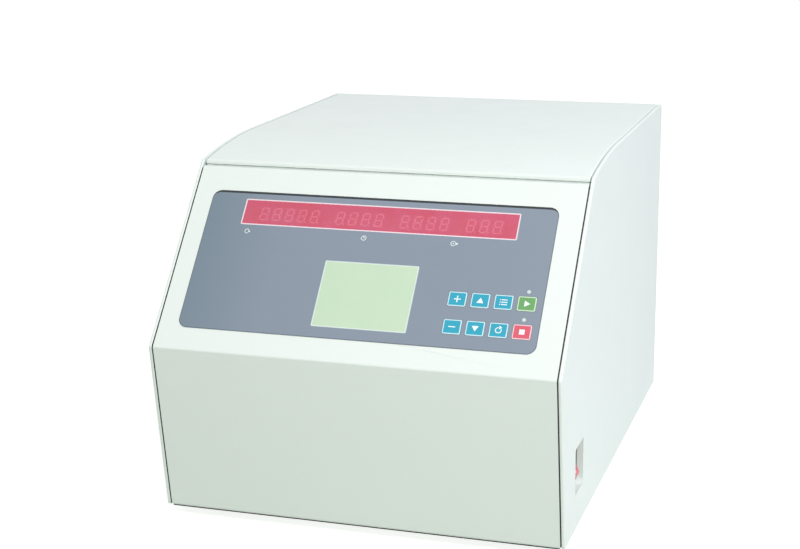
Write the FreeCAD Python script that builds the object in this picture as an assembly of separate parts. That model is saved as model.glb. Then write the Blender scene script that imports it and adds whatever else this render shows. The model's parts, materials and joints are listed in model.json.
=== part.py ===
import FreeCAD, Part
import math
import os
from FreeCAD import Vector

# Electric bench-top centrifuge with a swing-out rotor, in millimetres.
# X runs to the operator's right, Y from the front to the rear, Z up from the bench.
# The origin is on the bench under the middle of the machine.
# The rotor sets the size of the chamber, and the chamber and the motor set that of the cabinet.

# Sheet metal
sheet = 1.5                 # folded steel sheet
bend = 3.0                  # outer radius of a fold
corner_radius = 6.0         # corners of the sides
past = 1.0                  # how far a cutting shape runs past what it cuts

# Swing-out rotor
pivot_circle = 78.0         # rotor's axis to the trunnions
pivot_depth = 54.0          # trunnions below the deck
hub_radius = 43.0
hub_below = 18.0            # hub's foot below the trunnions
hub_height = 34.0
hub_foot_inset = 12.0
hub_crown_inset = 15.0
hub_fillet = 3.0
web_thickness = 18.0
ear_height = 24.0
ear_thickness = 6.5
ear_gap = 0.5               # between an ear and its bucket's boss
trunnion_radius = 4.0
pin_inset = 1.0             # inner end of a trunnion pin to the bucket's wall
bucket_radius = 28.0
bucket_wall = 5.0
bucket_rise = 15.0          # mouth above the trunnions
bucket_drop = 90.0          # base below the trunnions
bucket_floor = 6.0
bucket_base_round = 7.0
bucket_inner_round = 4.0
boss_proud = 5.0            # boss face past the bucket's wall
boss_width = 20.0
boss_below = 14.0           # how far a boss runs below its trunnion
running_gap = 0.05          # radial gap of what turns on a pin
nut_flange_radius = 20.0
nut_flange = 4.0
nut_radius = 13.0
nut_height = 18.0
nut_chamfer = 1.5
nut_scallops = 6
scallop_radius = 3.0
thread_radius = 5.0
thread_length = 11.0

# Rotor chamber
swing_clearance = 17.0      # swung-out bucket to the bowl's wall
floor_clearance = 20.0      # hanging bucket to the bowl's floor
bowl_wall = 1.5
bowl_flange_width = 8.0
bowl_corner = 14.0
drain_radius = 30.0
seal_lip = 7.0              # seal's inner edge inside the bowl's wall
seal_width = 10.0
seal_edge = 5.0             # seal's inner edge to the deck's mouth
seal_gap = 0.3              # seal below the closed lid's liner
seal_skirt = 3.0

# Motor and shaft
underside_height = 12.0     # bench to the lower edge of the casing
damper_height = 15.0
damper_radius = 14.0
damper_waist = 3.0
damper_spacing = 78.0
bracket_thickness = 4.0
bracket_half = 96.0
bracket_corner = 18.0
bracket_vent_radius = 9.0
bracket_vent_place = 84.0
motor_radius = 73.0
motor_height = 136.0
motor_shoulder = 8.0
motor_wall = 5.0
motor_end_wall = 4.0
motor_ribs = 12
motor_rib_width = 4.0
motor_rib_proud = 3.0
motor_boss_radius = 20.0
motor_boss_height = 8.0
brush_cap_radius = 8.0
brush_cap_proud = 7.0
boot_height = 18.5          # motor's top to the bowl's underside
boot_wall = 2.5
boot_lip = 6.0
bearing_radius = 13.0
bearing_length = 10.0
bearing_cover = 2.0
shaft_radius = 6.0
shaft_collar = 3.0
shaft_collar_length = 5.0
armature_radius = 44.0
armature_end_room = 16.0
armature_slots = 12
armature_slot_depth = 7.0
armature_slot_width = 3.0
commutator_radius = 18.0
commutator_length = 8.0

# Cabinet
side_room = 30.0            # bowl's inner wall to the outer face of a side
rail_room = 32.0            # panel's top edge to the bowl's flange
rear_room = 15.5            # bowl's flange to the rear panel
rear_recess = 9.5           # the rear panel stands in between the sides
slope_run = 143.0           # control panel, from the fold back to its top edge
slope_rise = 162.0
front_setback = 28.0        # the lower edge of the front stands back behind the fold
reveal = 1.5                # shadow gap between the sides and the front or the lid
side_lip_width = 3.5        # visible edge of a side
side_lip_depth = 24.0       # how far that folded edge runs in over the side
return_flange = 30.0        # lower folds of the front and rear under the base pan
side_return = 15.0          # folded edges of the front beside the sides
front_top_flange = 12.0
rear_top_flange = 15.0
rail_setback = 4.0
rail_gap = 1.0              # rail to the bowl's flange
rail_front_lip = 16.0
rail_rear_lip = 20.0
pan_setback = 18.0          # base pan behind the front's lower edge
pan_flange = 28.5
vent_slots = 8
vent_pitch = 32.0
vent_width = 8.0
vent_corner = 3.9
vent_length = 90.0
foot_radius = 15.0
foot_taper = 2.5
foot_chamfer = 1.5
foot_recess = 5.0
foot_inset_x = 52.0
foot_inset_front = 78.0
foot_inset_rear = 62.0
screw_radius = 3.5
screw_height = 2.0
screw_chamfer = 0.8
screw_inset = 9.0
screw_end_room = 18.0
screws_per_side = 4

# Lid
lid_gap = 1.5               # between the lid's front edge and the panel below it
lid_flange = 4.5            # upright front edge of the lid
lid_edge_radius = 3.0
lid_side_radius = 2.0
crown_length = 142.0        # front edge back to where the top runs flat
crown_rise = 13.0
skirt_depth = 8.0
skirt_gap = 5.0             # rear skirt above the hinge axis
liner_sheet = 1.5
liner_rise = 4.5            # liner above the deck
liner_inset_front = 10.0
liner_inset_rear = 21.5
liner_inset_side = 10.0
liner_corner = 12.0
liner_flange_inset = 12.0
dome_margin = 12.0          # liner's dome past the buckets at rest
dome_rise = 8.0
dome_slope = 14.0
spacer_radius = 4.0
spacer_inset = 22.0
hinge_pin_radius = 2.0
knuckle_radius = 4.0
hinge_drop = 6.5            # hinge axis below the deck
hinge_spacing = 260.0
hinge_length = 60.0
hinge_leaf_drop = 27.0
hinge_leaf_rise = 20.0
hinge_pin_end = 0.5
end_gap = 0.4

# Lid lock below the front rail
slot_half_length = 16.0
slot_width = 14.0
slot_setback = 15.0         # middle of the slot behind the rail's front
slot_corner = 3.0
striker_gap = 1.0
striker_thickness = 2.0
striker_depth = 24.0        # tongue's end below the deck's underside
striker_base_half = 13.0
striker_corner = 4.0
bolt_depth = 17.0
bolt_height = 7.0
bolt_width = 6.0
bolt_travel = 8.0           # half of it to each side of the striker
bolt_length = 28.0
bolt_bevel = 3.0
bolt_gap = 0.3
window_gap = 0.5            # striker's window past the bolt
solenoid_start = 20.0
solenoid_length = 36.0
solenoid_width = 18.0
solenoid_margin = 6.0

# Control panel: u across it from the middle, v up the slope from the fold
overlay_left = 20.7         # margins to the edges of the panel
overlay_right = 24.7
overlay_low = 24.8
overlay_height = 162.5
overlay_thickness = 0.5
overlay_corner = 10.0
window_thickness = 2.0
window_sink = 0.1
window_corner = 1.0
digit_groups = (5, 4, 4, 3)
digit_pitch = 14.0
digit_width = 12.6
digit_height = 19.0
digit_depth = 11.0
digit_margin_u = 15.3       # digits to the edge of their window
digit_margin_v = 4.9
digit_window_left = 40.2    # from the overlay's left edge
digit_window_drop = 9.9     # its top below the overlay's
crystal_left = 143.2        # from the overlay's left edge
crystal_rise = 12.9         # above the overlay's lower edge
crystal_width = 98.6
crystal_height = 73.3
crystal_frame = 5.0
key_inset = 16.7            # last column of keys to the overlay's right edge
key_rise = 23.1             # lower row above the overlay's lower edge
key_pitch = 23.4
key_row_pitch = 30.5
key_names = (("minus", "down", "recall", "stop"), ("plus", "up", "preset", "start"))
key_width = 18.4
key_height = 15.8
key_corner = 1.5
key_chamfer = 0.2
key_proud = 0.3
key_gap = 0.3
key_back = 0.6              # cap's underside below the panel's face
key_travel = 0.5
key_stem = 5.2
key_stem_radius = 2.5
lamp_radius = 2.0
lamp_rise = 13.2            # lamp above the middle of its key
lamp_proud = 0.3
lamp_foot = 4.0
lamp_foot_rim = 0.6

# Boards
board_depth = 14.0          # display board behind the panel's face
board_thickness = 1.6
board_inset_u = 4.3
board_inset_low = 5.0
board_inset_high = 4.0
board_corner = 2.0
post_radius = 2.5
post_height = 12.0
post_inset_u = 7.0
post_inset_low = 4.0
post_inset_high = 2.5
post_middle = 75.0
tact_half = 6.0
tact_height = 4.0
tact_radius = 2.2
tact_gap = 0.3
drive_length = 150.0
drive_width = 120.0
drive_inset_x = 40.0
drive_inset_y = 68.0
drive_post_inset = 6.0
capacitor_radius = 11.0
capacitor_height = 34.0
capacitor_pitch = 30.0
capacitors = 3
heatsink_height = 34.0
heatsink_width = 42.0
heatsink_inset = 12.0
heatsink_edge = 8.0
heatsink_base = 6.0
heatsink_fins = 7
fin_thickness = 2.0

# Switch recess in the right side
recess_setback = 74.0       # from the fold back
recess_length = 41.0
recess_rise = 6.5           # above the base pan's flange
recess_height = 50.0
recess_depth = 10.0
recess_corner_low = 6.0
recess_corner_high = 3.0
well_flange = 7.0
rocker_pivot_depth = 13.0
rocker_half_width = 11.0
rocker_half_height = 13.5
rocker_proud = 9.0          # tips of the rocker past its axis
rocker_dip = 3.0            # its middle below the tips
rocker_keel = 6.0
rocker_keel_half = 5.0
rocker_rest_angle = 11.0
rocker_stub = 1.5
rocker_stub_length = 1.2
rocker_gap = 0.3
rocker_end_room = 1.8
housing_wall = 2.0
housing_depth = 14.0
bezel_rim = 2.0
bezel_thickness = 4.0
stub_gap = 0.1
blade_length = 8.0
blade_width = 6.0
blade_thickness = 0.8
blade_pitch = 9.0

# Mains inlet and louvres in the rear panel
inlet_inset = 65.0          # middle of the inlet from the outer face of the right side
inlet_rise = 10.5           # above the base pan's flange
inlet_width = 50.0
inlet_height = 62.0
inlet_rim = 5.0
inlet_plate = 2.5
inlet_body_depth = 30.0
inlet_corner = 4.0
socket_half = 12.5
socket_height = 17.0
socket_depth = 17.0
socket_bevel = 5.0
socket_rise = 2.0
pin_length = 12.0
pin_half = 1.0
pin_tall = 2.0
pin_spread = 7.0
drawer_rise = 9.0           # fuse drawer above the socket
drawer_half = 11.5
drawer_height = 12.0
drawer_depth = 24.0
drawer_wall = 3.0
drawer_gap = 0.3
drawer_lip_inset = 2.5
louvre_rows = 10
louvre_columns = 3
louvre_start = -152.0
louvre_column_pitch = 64.0
louvre_length = 52.0
louvre_pitch = 15.0
louvre_low = 110.0
louvre_depth = 5.0
louvre_wall = 1.0

# Rotor and chamber, worked out from the sizes above
bucket_bore = bucket_radius - bucket_wall
boss_reach = bucket_radius + boss_proud
ear_inner = boss_reach + ear_gap
ear_outer = ear_inner + ear_thickness
bowl_radius = pivot_circle + bucket_drop + swing_clearance
bowl_depth = pivot_depth + bucket_drop + floor_clearance
bowl_flange = bowl_radius + bowl_flange_width
seal_inner = bowl_radius - seal_lip
seal_outer = seal_inner + seal_width
mouth_radius = seal_inner + seal_edge

# Heights, from the bench up
pan_low = underside_height + sheet
pan_top = pan_low + sheet
bracket_low = pan_top + damper_height
bracket_top = bracket_low + bracket_thickness
motor_top = bracket_top + motor_height
bowl_low = motor_top + boot_height
bowl_floor = bowl_low + bowl_wall
deck_low = bowl_floor + bowl_depth
deck_height = deck_low + sheet
slope_top_z = deck_height + sheet
fold_height = slope_top_z - slope_rise
lid_low = slope_top_z + lid_gap
lid_edge_height = lid_low + lid_flange
overall_height = lid_edge_height + crown_rise
pivot_height = deck_low - pivot_depth
hub_low = pivot_height - hub_below
hub_top = hub_low + hub_height
liner_height = deck_height + liner_rise
hinge_height = deck_height - hinge_drop
pan_flange_top = pan_top + pan_flange

# Width and depth
half_width = bowl_radius + side_room
lip_x = half_width - side_lip_width
panel_x = lip_x - reveal
overall_depth = slope_run + rail_room + 2 * bowl_flange + rear_room + rear_recess
front_y = -overall_depth / 2
rear_y = overall_depth / 2
slope_top_y = front_y + slope_run
rotor_y = slope_top_y + rail_room + bowl_flange
rear_face = rear_y - rear_recess
slope_angle = math.degrees(math.atan2(slope_rise, slope_run))
lower_front_y = front_y + front_setback
rail_front = slope_top_y + rail_setback
deck_front = rotor_y - bowl_flange - rail_gap
pan_front = lower_front_y + pan_setback
pan_rear = rear_face - bend

# Lid, liner and hinges
lid_edge_y = slope_top_y + (lid_edge_height - slope_top_z) * slope_run / slope_rise
crown_tangent = (crown_length ** 2 + crown_rise ** 2) / (2 * crown_length)
crown_end_y = lid_edge_y + crown_length
crown_corner_y = crown_end_y - crown_tangent
crown_angle = math.atan2(crown_rise, crown_length - crown_tangent)
crown_radius = (crown_tangent - corner_radius / 2) / math.tan(crown_angle / 2)
skirt_low = hinge_height + skirt_gap
lid_ceiling = overall_height - sheet
liner_front = slope_top_y + liner_inset_front
liner_rear = rear_face - liner_inset_rear
liner_half = panel_x - liner_inset_side
liner_flange_front = crown_end_y + spacer_radius
dome_radius = pivot_circle + bucket_radius + dome_margin
hinge_y = rear_face + knuckle_radius
lid_leaf_y = rear_y - 2 * sheet

# Lid lock
slot_middle = rail_front + slot_setback
slot_front = slot_middle - slot_width / 2
slot_rear = slot_middle + slot_width / 2
striker_bottom = deck_low - striker_depth
bolt_low = deck_low - bolt_depth
bolt_tip = bolt_travel / 2

# Control panel
overlay_high = overlay_low + overlay_height
overlay_u0 = -panel_x + overlay_left
overlay_u1 = panel_x - overlay_right
overlay_middle = (overlay_u0 + overlay_u1) / 2
digit_span = (sum(digit_groups) + len(digit_groups) - 2) * digit_pitch
digit_window_u0 = overlay_u0 + digit_window_left
digit_window_u1 = digit_window_u0 + digit_span + digit_width + 2 * digit_margin_u
digit_window_high = overlay_high - digit_window_drop
digit_window_low = digit_window_high - digit_height - 2 * digit_margin_v
digit_window = (digit_window_u0, digit_window_u1, digit_window_low, digit_window_high)
crystal_u0 = overlay_u0 + crystal_left
crystal_low = overlay_low + crystal_rise
crystal_window = (crystal_u0, crystal_u0 + crystal_width, crystal_low, crystal_low + crystal_height)
key_low = overlay_low + key_rise
key_last_u = overlay_u1 - key_inset
key_columns = len(key_names[0])

# Boards
board_u0 = overlay_u0 + board_inset_u
board_u1 = overlay_u1 - board_inset_u
board_v0 = overlay_low + board_inset_low
board_v1 = overlay_high - board_inset_high
drive_x0 = -half_width + drive_inset_x
drive_y0 = front_y + drive_inset_y
drive_low = pan_top + post_height
drive_top = drive_low + board_thickness

# Switch recess
recess_front = front_y + recess_setback
recess_rear = recess_front + recess_length
recess_low = pan_flange_top + recess_rise
recess_high = recess_low + recess_height
recess_floor_x = half_width - recess_depth
switch_y = (recess_front + recess_rear) / 2
switch_z = (recess_low + recess_high) / 2
pivot_x = half_width - rocker_pivot_depth
bezel_top = recess_floor_x + bezel_thickness
cavity_half_y = rocker_half_width + rocker_gap
cavity_half_z = rocker_half_height + rocker_end_room
housing_half_y = cavity_half_y + housing_wall
housing_half_z = cavity_half_z + housing_wall - rocker_gap

# Mains inlet
inlet_x = half_width - inlet_inset
inlet_low = pan_flange_top + inlet_rise
inlet_front = rear_face + inlet_plate
socket_low = inlet_low + socket_rise
socket_high = socket_low + socket_height
drawer_low = socket_high + drawer_rise
drawer_high = drawer_low + drawer_height

# Outline of the cabinet from the side, from the front's lower edge round to the rear.
cabinet_outline = [
    (lower_front_y, underside_height, bend),
    (front_y, fold_height, bend),
    (lid_edge_y, lid_edge_height, corner_radius),
    (crown_corner_y, overall_height, crown_radius),
    (rear_y, overall_height, corner_radius),
    (rear_y, underside_height, bend),
]


def corners_inward(corners, distance):
    """The same outline with every side moved in by a distance; a round corner keeps its centre."""
    count = len(corners)
    area = 0.0
    for i in range(count):
        a, b = corners[i], corners[(i + 1) % count]
        area += a[0] * b[1] - b[0] * a[1]
    side = 1.0 if area > 0 else -1.0
    lines = []
    for i in range(count):
        a, b = corners[i], corners[(i + 1) % count]
        length = math.hypot(b[0] - a[0], b[1] - a[1])
        normal = (-(b[1] - a[1]) / length * side, (b[0] - a[0]) / length * side)
        offset = normal[0] * a[0] + normal[1] * a[1] + distance
        lines.append((normal, offset))
    moved = []
    for i in range(count):
        (n1, c1), (n2, c2) = lines[i - 1], lines[i]
        det = n1[0] * n2[1] - n1[1] * n2[0]
        x = (c1 * n2[1] - c2 * n1[1]) / det
        y = (n1[0] * c2 - n2[0] * c1) / det
        moved.append((x, y, max(corners[i][2] - distance, 0.0)))
    return moved


def fold_strip(chain, thickness, radius):
    """Section of a folded sheet: a chain of points, and its other face offset to the left."""
    normals = []
    for a, b in zip(chain, chain[1:]):
        length = math.hypot(b[0] - a[0], b[1] - a[1])
        normals.append((-(b[1] - a[1]) / length, (b[0] - a[0]) / length))
    inner = []
    outer = []
    for i, (x, y) in enumerate(chain):
        if i in (0, len(chain) - 1):
            n = normals[0] if i == 0 else normals[-1]
            outer.append((x, y, 0.0))
            inner.append((x + n[0] * thickness, y + n[1] * thickness, 0.0))
            continue
        n1, n2 = normals[i - 1], normals[i]
        scale = thickness / (1.0 + n1[0] * n2[0] + n1[1] * n2[1])
        inside = (n1[0] * n2[1] - n1[1] * n2[0]) * thickness > 0
        tight = max(radius - abs(thickness), 0.0)
        outer_radius, inner_radius = (radius, tight) if inside else (tight, radius)
        outer.append((x, y, outer_radius))
        inner.append((x + (n1[0] + n2[0]) * scale, y + (n1[1] + n2[1]) * scale, inner_radius))
    return outer + inner[::-1]


def rounded_face(corners, place):
    """Face inside an outline of (a, b, corner radius), set in space by place(a, b)."""
    points = [Vector(c[0], c[1], 0) for c in corners]
    spans = []
    for i, corner in enumerate(corners):
        here = points[i]
        radius = corner[2] if len(corner) > 2 else 0.0
        if radius <= 0:
            spans.append((here, None, here))
            continue
        back = (points[i - 1] - here).normalize()
        ahead = (points[(i + 1) % len(points)] - here).normalize()
        half = back.getAngle(ahead) / 2
        reach = radius / math.tan(half)
        middle = (back + ahead).normalize()
        centre = here + middle * (radius / math.sin(half))
        spans.append((here + back * reach, centre - middle * radius, here + ahead * reach))
    edges = []
    for i, (start, mid, end) in enumerate(spans):
        if mid is not None:
            arc = Part.Arc(place(start.x, start.y), place(mid.x, mid.y), place(end.x, end.y))
            edges.append(arc.toShape())
        following = spans[(i + 1) % len(spans)][0]
        if end.distanceToPoint(following) > 1e-6:
            edges.append(Part.makeLine(place(end.x, end.y), place(following.x, following.y)))
    return Part.Face(Part.Wire(edges))


def along_x(corners, x0, x1):
    """Prism of a (y, z) outline from x0 to x1."""
    return rounded_face(corners, lambda a, b: Vector(x0, a, b)).extrude(Vector(x1 - x0, 0, 0))


def along_y(corners, y0, y1):
    """Prism of an (x, z) outline from y0 to y1."""
    return rounded_face(corners, lambda a, b: Vector(a, y0, b)).extrude(Vector(0, y1 - y0, 0))


def along_z(corners, z0, z1):
    """Prism of an (x, y) outline from z0 to z1."""
    return rounded_face(corners, lambda a, b: Vector(a, b, z0)).extrude(Vector(0, 0, z1 - z0))


def rectangle(a0, a1, b0, b1, radius=0.0):
    return [(a0, b0, radius), (a1, b0, radius), (a1, b1, radius), (a0, b1, radius)]


def box(x0, x1, y0, y1, z0, z1):
    return Part.makeBox(x1 - x0, y1 - y0, z1 - z0, Vector(x0, y0, z0))


def rod(radius, start, end):
    axis = end - start
    return Part.makeCylinder(radius, axis.Length, start, axis)


def upright(radius, x, y, z0, z1):
    return rod(radius, Vector(x, y, z0), Vector(x, y, z1))


def turned(section, x=0.0, y=rotor_y):
    """Solid of revolution of an (r, z) section about an upright axis."""
    face = rounded_face(section, lambda a, b: Vector(a, 0, b))
    solid = face.revolve(Vector(0, 0, 0), Vector(0, 0, 1), 360)
    solid.translate(Vector(x, y, 0))
    return solid


def around_rotor(shape, count, start=0.0):
    """Copies of a shape, evenly spaced about the rotor's axis."""
    copies = []
    for i in range(count):
        copy = shape.copy()
        copy.rotate(Vector(0, rotor_y, 0), Vector(0, 0, 1), start + 360.0 / count * i)
        copies.append(copy)
    return copies


def fused(shapes):
    shapes = list(shapes)
    return shapes[0].fuse(shapes[1:]).removeSplitter()


def group(shapes):
    return Part.makeCompound(list(shapes))


def edges_in_plane(shape, axis, value):
    """Edges of a shape that lie in one plane square to an axis."""
    found = []
    for edge in shape.Edges:
        b = edge.BoundBox
        low, high = {"x": (b.XMin, b.XMax), "y": (b.YMin, b.YMax), "z": (b.ZMin, b.ZMax)}[axis]
        if abs(low - value) < 1e-4 and abs(high - value) < 1e-4:
            found.append(edge)
    return found


def on_panel(shape):
    """Move a shape from panel coordinates (u, v, out of the panel) to the cabinet."""
    shape = shape.copy()
    shape.rotate(Vector(0, 0, 0), Vector(1, 0, 0), slope_angle)
    shape.translate(Vector(0, front_y, fold_height))
    return shape


def mirrored_x(shape):
    return shape.mirror(Vector(0, 0, 0), Vector(1, 0, 0))


# ---- Housing ----

def side_panel():
    """The right side: a sheet with a folded lip round its edge."""
    face = rounded_face(cabinet_outline, lambda a, b: Vector(lip_x, a, b))
    panel = face.extrude(Vector(side_lip_width, 0, 0))
    hollow = face.makeOffset2D(-side_lip_depth).extrude(Vector(side_lip_width - sheet, 0, 0))
    return panel.makeFillet(sheet, edges_in_plane(panel, "x", half_width)).cut(hollow)


def recess_outline(grow):
    """Mouth of the switch recess: small corners above, larger ones below."""
    y0, y1 = recess_front - grow, recess_rear + grow
    z0, z1 = recess_low - grow, recess_high + grow
    low, high = recess_corner_low + grow, recess_corner_high + grow
    return [(y0, z0, low), (y1, z0, low), (y1, z1, high), (y0, z1, high)]


def right_cheek():
    return side_panel().cut(along_x(recess_outline(0.0), lip_x - past, half_width + past))


def key_positions():
    """Name and centre of each key, across the panel and up the slope."""
    for row, names in enumerate(key_names):
        for column, name in enumerate(names):
            u = key_last_u - (key_columns - 1 - column) * key_pitch
            yield name, u, key_low + row * key_row_pitch


def lamp_positions():
    return [(key_last_u, key_low + row * key_row_pitch + lamp_rise) for row in range(len(key_names))]


def panel_openings(depth):
    """Prisms through the panel for the windows, the keys and the lamps."""
    cuts = []
    for u0, u1, v0, v1 in (digit_window, crystal_window):
        cuts.append(along_z(rectangle(u0, u1, v0, v1, window_corner), -depth, depth))
    a = key_width / 2 + key_gap
    b = key_height / 2 + key_gap
    for _, u, v in key_positions():
        cuts.append(along_z(rectangle(u - a, u + a, v - b, v + b, key_corner), -depth, depth))
    for u, v in lamp_positions():
        cuts.append(upright(lamp_radius, u, v, -depth, depth))
    return cuts


def front_chain():
    """Outer face of the front: under the pan, up the front, up the panel and back on the rail."""
    return [
        (lower_front_y + return_flange, underside_height),
        (lower_front_y, underside_height),
        (front_y, fold_height),
        (slope_top_y, slope_top_z),
        (slope_top_y + front_top_flange, slope_top_z),
    ]


def flank_room():
    """Where the front's side returns have room: ahead of the pan and below the rail."""
    clear = pan_flange_top + past
    ahead = box(-panel_x, panel_x, front_y - past, pan_front - past, underside_height, clear)
    above = box(-panel_x, panel_x, front_y - past, rail_front, clear, deck_height - rail_front_lip - 2 * past)
    return ahead.fuse(above)


def front_fascia():
    """Leaning front, sloped panel and top flange folded from one sheet, with side returns."""
    shell = along_x(fold_strip(front_chain(), -sheet, bend), -panel_x, panel_x)
    flank = fold_strip(front_chain(), -side_return, bend)
    for x0 in (-panel_x, panel_x - sheet):
        shell = shell.fuse(along_x(flank, x0, x0 + sheet).common(flank_room()))
    openings = [on_panel(cut) for cut in panel_openings(sheet + bend)]
    return shell.removeSplitter().cut(openings)


def inlet_body(y0, y1):
    half = inlet_width / 2 - inlet_rim
    return box(inlet_x - half, inlet_x + half, y0, y1, inlet_low, inlet_low + inlet_height - 2 * inlet_rim)


def louvre_places():
    for column in range(louvre_columns):
        for row in range(louvre_rows):
            yield louvre_start + column * louvre_column_pitch, louvre_low + row * louvre_pitch


def louvre_hood(x, z, depth, inset):
    """Wedge of one louvre, open below; the inset one is the space inside it."""
    rise = louvre_pitch / 2 - inset * sheet
    section = [
        (rear_face - inset, z + rise), (rear_face - inset, z - inset),
        (rear_face + depth, z - inset), (rear_face + depth, z + sheet - inset * sheet / 3),
    ]
    return along_x(section, x + inset, x + louvre_length - inset)


def rear_panel():
    """Flat rear between the sides, folded forward at the top and the bottom, with louvres."""
    chain = [
        (rear_face - return_flange, underside_height),
        (rear_face, underside_height),
        (rear_face, deck_low),
        (rear_face - rear_top_flange, deck_low),
    ]
    panel = along_x(fold_strip(chain, sheet, bend), -lip_x, lip_x)
    mouths = []
    hoods = []
    for x, z in louvre_places():
        mouths.append(box(x + sheet, x + louvre_length - sheet, rear_face - sheet - past, rear_face + past,
                          z, z + louvre_pitch / 2 - louvre_wall))
        hood = louvre_hood(x, z, louvre_depth, 0.0)
        hoods.append(hood.cut(louvre_hood(x, z, louvre_depth - louvre_wall, louvre_wall)))
    panel = panel.cut(mouths).fuse(hoods)
    return panel.cut(inlet_body(rear_face - sheet - past, rear_face + past))


def base_pan():
    """Tray that everything stands on, with slots for cooling air under the motor."""
    tray = box(-lip_x, lip_x, pan_front, pan_rear, pan_low, pan_flange_top)
    tray = tray.cut(box(-lip_x + sheet, lip_x - sheet, pan_front + sheet, pan_rear - sheet,
                        pan_top, pan_flange_top + past))
    slots = []
    for i in range(vent_slots):
        x0 = (i - (vent_slots - 1) / 2) * vent_pitch - vent_width / 2
        y0 = rotor_y - vent_length / 2
        outline = rectangle(x0, x0 + vent_width, y0, y0 + vent_length, vent_corner)
        slots.append(along_z(outline, pan_low - past, pan_top + past))
    return tray.cut(slots)


def foot_places():
    for x in (-half_width + foot_inset_x, half_width - foot_inset_x):
        for y in (front_y + foot_inset_front, rear_y - foot_inset_rear):
            yield x, y


def rubber_feet():
    """Tapered feet with a blind recess for their screws."""
    r = foot_radius - foot_taper
    section = [
        (foot_recess, 0), (r - foot_chamfer, 0), (r, foot_chamfer), (foot_radius, pan_low),
        (0, pan_low), (0, foot_recess), (foot_recess, foot_recess),
    ]
    return group(turned(section, x, y) for x, y in foot_places())


def front_rail():
    """Cross rail below the lid's front edge; its slot takes the striker."""
    chain = [
        (rail_front, deck_height - rail_front_lip),
        (rail_front, deck_height),
        (deck_front, deck_height),
        (deck_front, deck_height - rail_rear_lip),
    ]
    rail = along_x(fold_strip(chain, -sheet, bend), -lip_x, lip_x)
    outline = rectangle(-slot_half_length, slot_half_length, slot_front, slot_rear, slot_corner)
    return rail.cut(along_z(outline, deck_low - past, deck_height + past))


def deck_plate():
    """Top plate with the mouth of the rotor chamber."""
    plate = box(-lip_x, lip_x, deck_front, rear_face, deck_low, deck_height)
    return plate.cut(upright(mouth_radius, 0, rotor_y, deck_low - past, deck_height + past))


def chamber_bowl():
    """Deep-drawn bowl hung by its rim below the deck."""
    outer = bowl_radius + bowl_wall
    rim = deck_low - bowl_wall
    return turned([
        (drain_radius, bowl_low), (outer, bowl_low, bowl_corner + bowl_wall), (outer, rim),
        (bowl_flange, rim), (bowl_flange, deck_low), (bowl_radius, deck_low),
        (bowl_radius, bowl_floor, bowl_corner), (drain_radius, bowl_floor),
    ])


def chamber_seal():
    """Rubber ring clipped over the edge of the deck's mouth."""
    top = liner_height - seal_gap
    foot = deck_low - seal_skirt
    return turned([
        (seal_inner, foot), (mouth_radius, foot), (mouth_radius, deck_height), (seal_outer, deck_height),
        (seal_outer, deck_height + sheet), (seal_outer - seal_skirt, top), (seal_inner + sheet, top),
        (seal_inner, top - sheet),
    ])


def shaft_boot():
    """Rubber boot between the motor's top boss and the bowl's drain hole."""
    low = motor_top + seal_gap
    top = bowl_floor + boot_wall
    outer, inner, rim = drain_radius + boot_wall, drain_radius - boot_wall, drain_radius + boot_lip
    shoulder = bowl_low - boot_lip
    return turned([
        (motor_boss_radius, low), (motor_boss_radius + boot_wall, low), (outer, shoulder), (outer, bowl_low),
        (drain_radius, bowl_low), (drain_radius, bowl_floor), (rim, bowl_floor), (rim, top), (inner, top),
        (inner, shoulder), (motor_boss_radius, low + boot_lip),
    ])


# ---- Motor ----

bearing_low = bracket_top + motor_end_wall
bearing_high = motor_top - bearing_cover - bearing_length


def motor_can():
    """Closed motor housing with two bearing seats, cooling ribs and the caps of its brushes."""
    r, top = motor_radius, motor_top
    bore = r - motor_wall
    seat_top = bearing_low + bearing_length
    can = turned([
        (0, bracket_top), (r - bearing_cover, bracket_top), (r, bracket_top + bearing_cover),
        (r, top - motor_shoulder), (r - motor_shoulder, top), (motor_boss_radius, top),
        (motor_boss_radius, top + motor_boss_height), (shaft_radius + bearing_cover, top + motor_boss_height),
        (shaft_radius + bearing_cover, top - bearing_cover), (bearing_radius, top - bearing_cover),
        (bearing_radius, bearing_high), (bore, bearing_high), (bore, seat_top),
        (bearing_radius, seat_top), (bearing_radius, bearing_low), (0, bearing_low),
    ])
    half = motor_rib_width / 2
    rib = box(r - past, r + motor_rib_proud, rotor_y - half, rotor_y + half, seat_top,
              top - motor_shoulder - seat_top / 4)
    brush_z = bearing_high - armature_end_room
    brush = rod(brush_cap_radius, Vector(r - past, rotor_y, brush_z),
                Vector(r + brush_cap_proud, rotor_y, brush_z))
    step = 360.0 / motor_ribs
    return can.fuse(around_rotor(rib, motor_ribs, step / 2) + around_rotor(brush, 2))


def motor_bearings():
    bore = shaft_radius + running_gap
    rings = []
    for z in (bearing_low, bearing_high):
        rings.append(turned([(bore, z), (bearing_radius, z), (bearing_radius, z + bearing_length),
                             (bore, z + bearing_length)]))
    return group(rings)


def motor_bracket():
    h = bracket_half
    plate = along_z(rectangle(-h, h, rotor_y - h, rotor_y + h, bracket_corner), bracket_low, bracket_top)
    vent = upright(bracket_vent_radius, bracket_vent_place, rotor_y, bracket_low - past, bracket_top + past)
    return plate.cut(around_rotor(vent, 4))


def motor_dampers():
    """Waisted rubber mounts between the base pan and the motor's bracket."""
    r = damper_radius
    waist = r - damper_waist
    ring = damper_height / 4
    section = [
        (0, pan_top), (r, pan_top), (r, pan_top + ring), (waist, pan_top + ring + damper_waist / 2),
        (waist, bracket_low - ring - damper_waist / 2), (r, bracket_low - ring), (r, bracket_low),
        (0, bracket_low),
    ]
    places = [(x, y) for x in (-damper_spacing, damper_spacing) for y in (-damper_spacing, damper_spacing)]
    return group(turned(section, x, rotor_y + y) for x, y in places)


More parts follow.
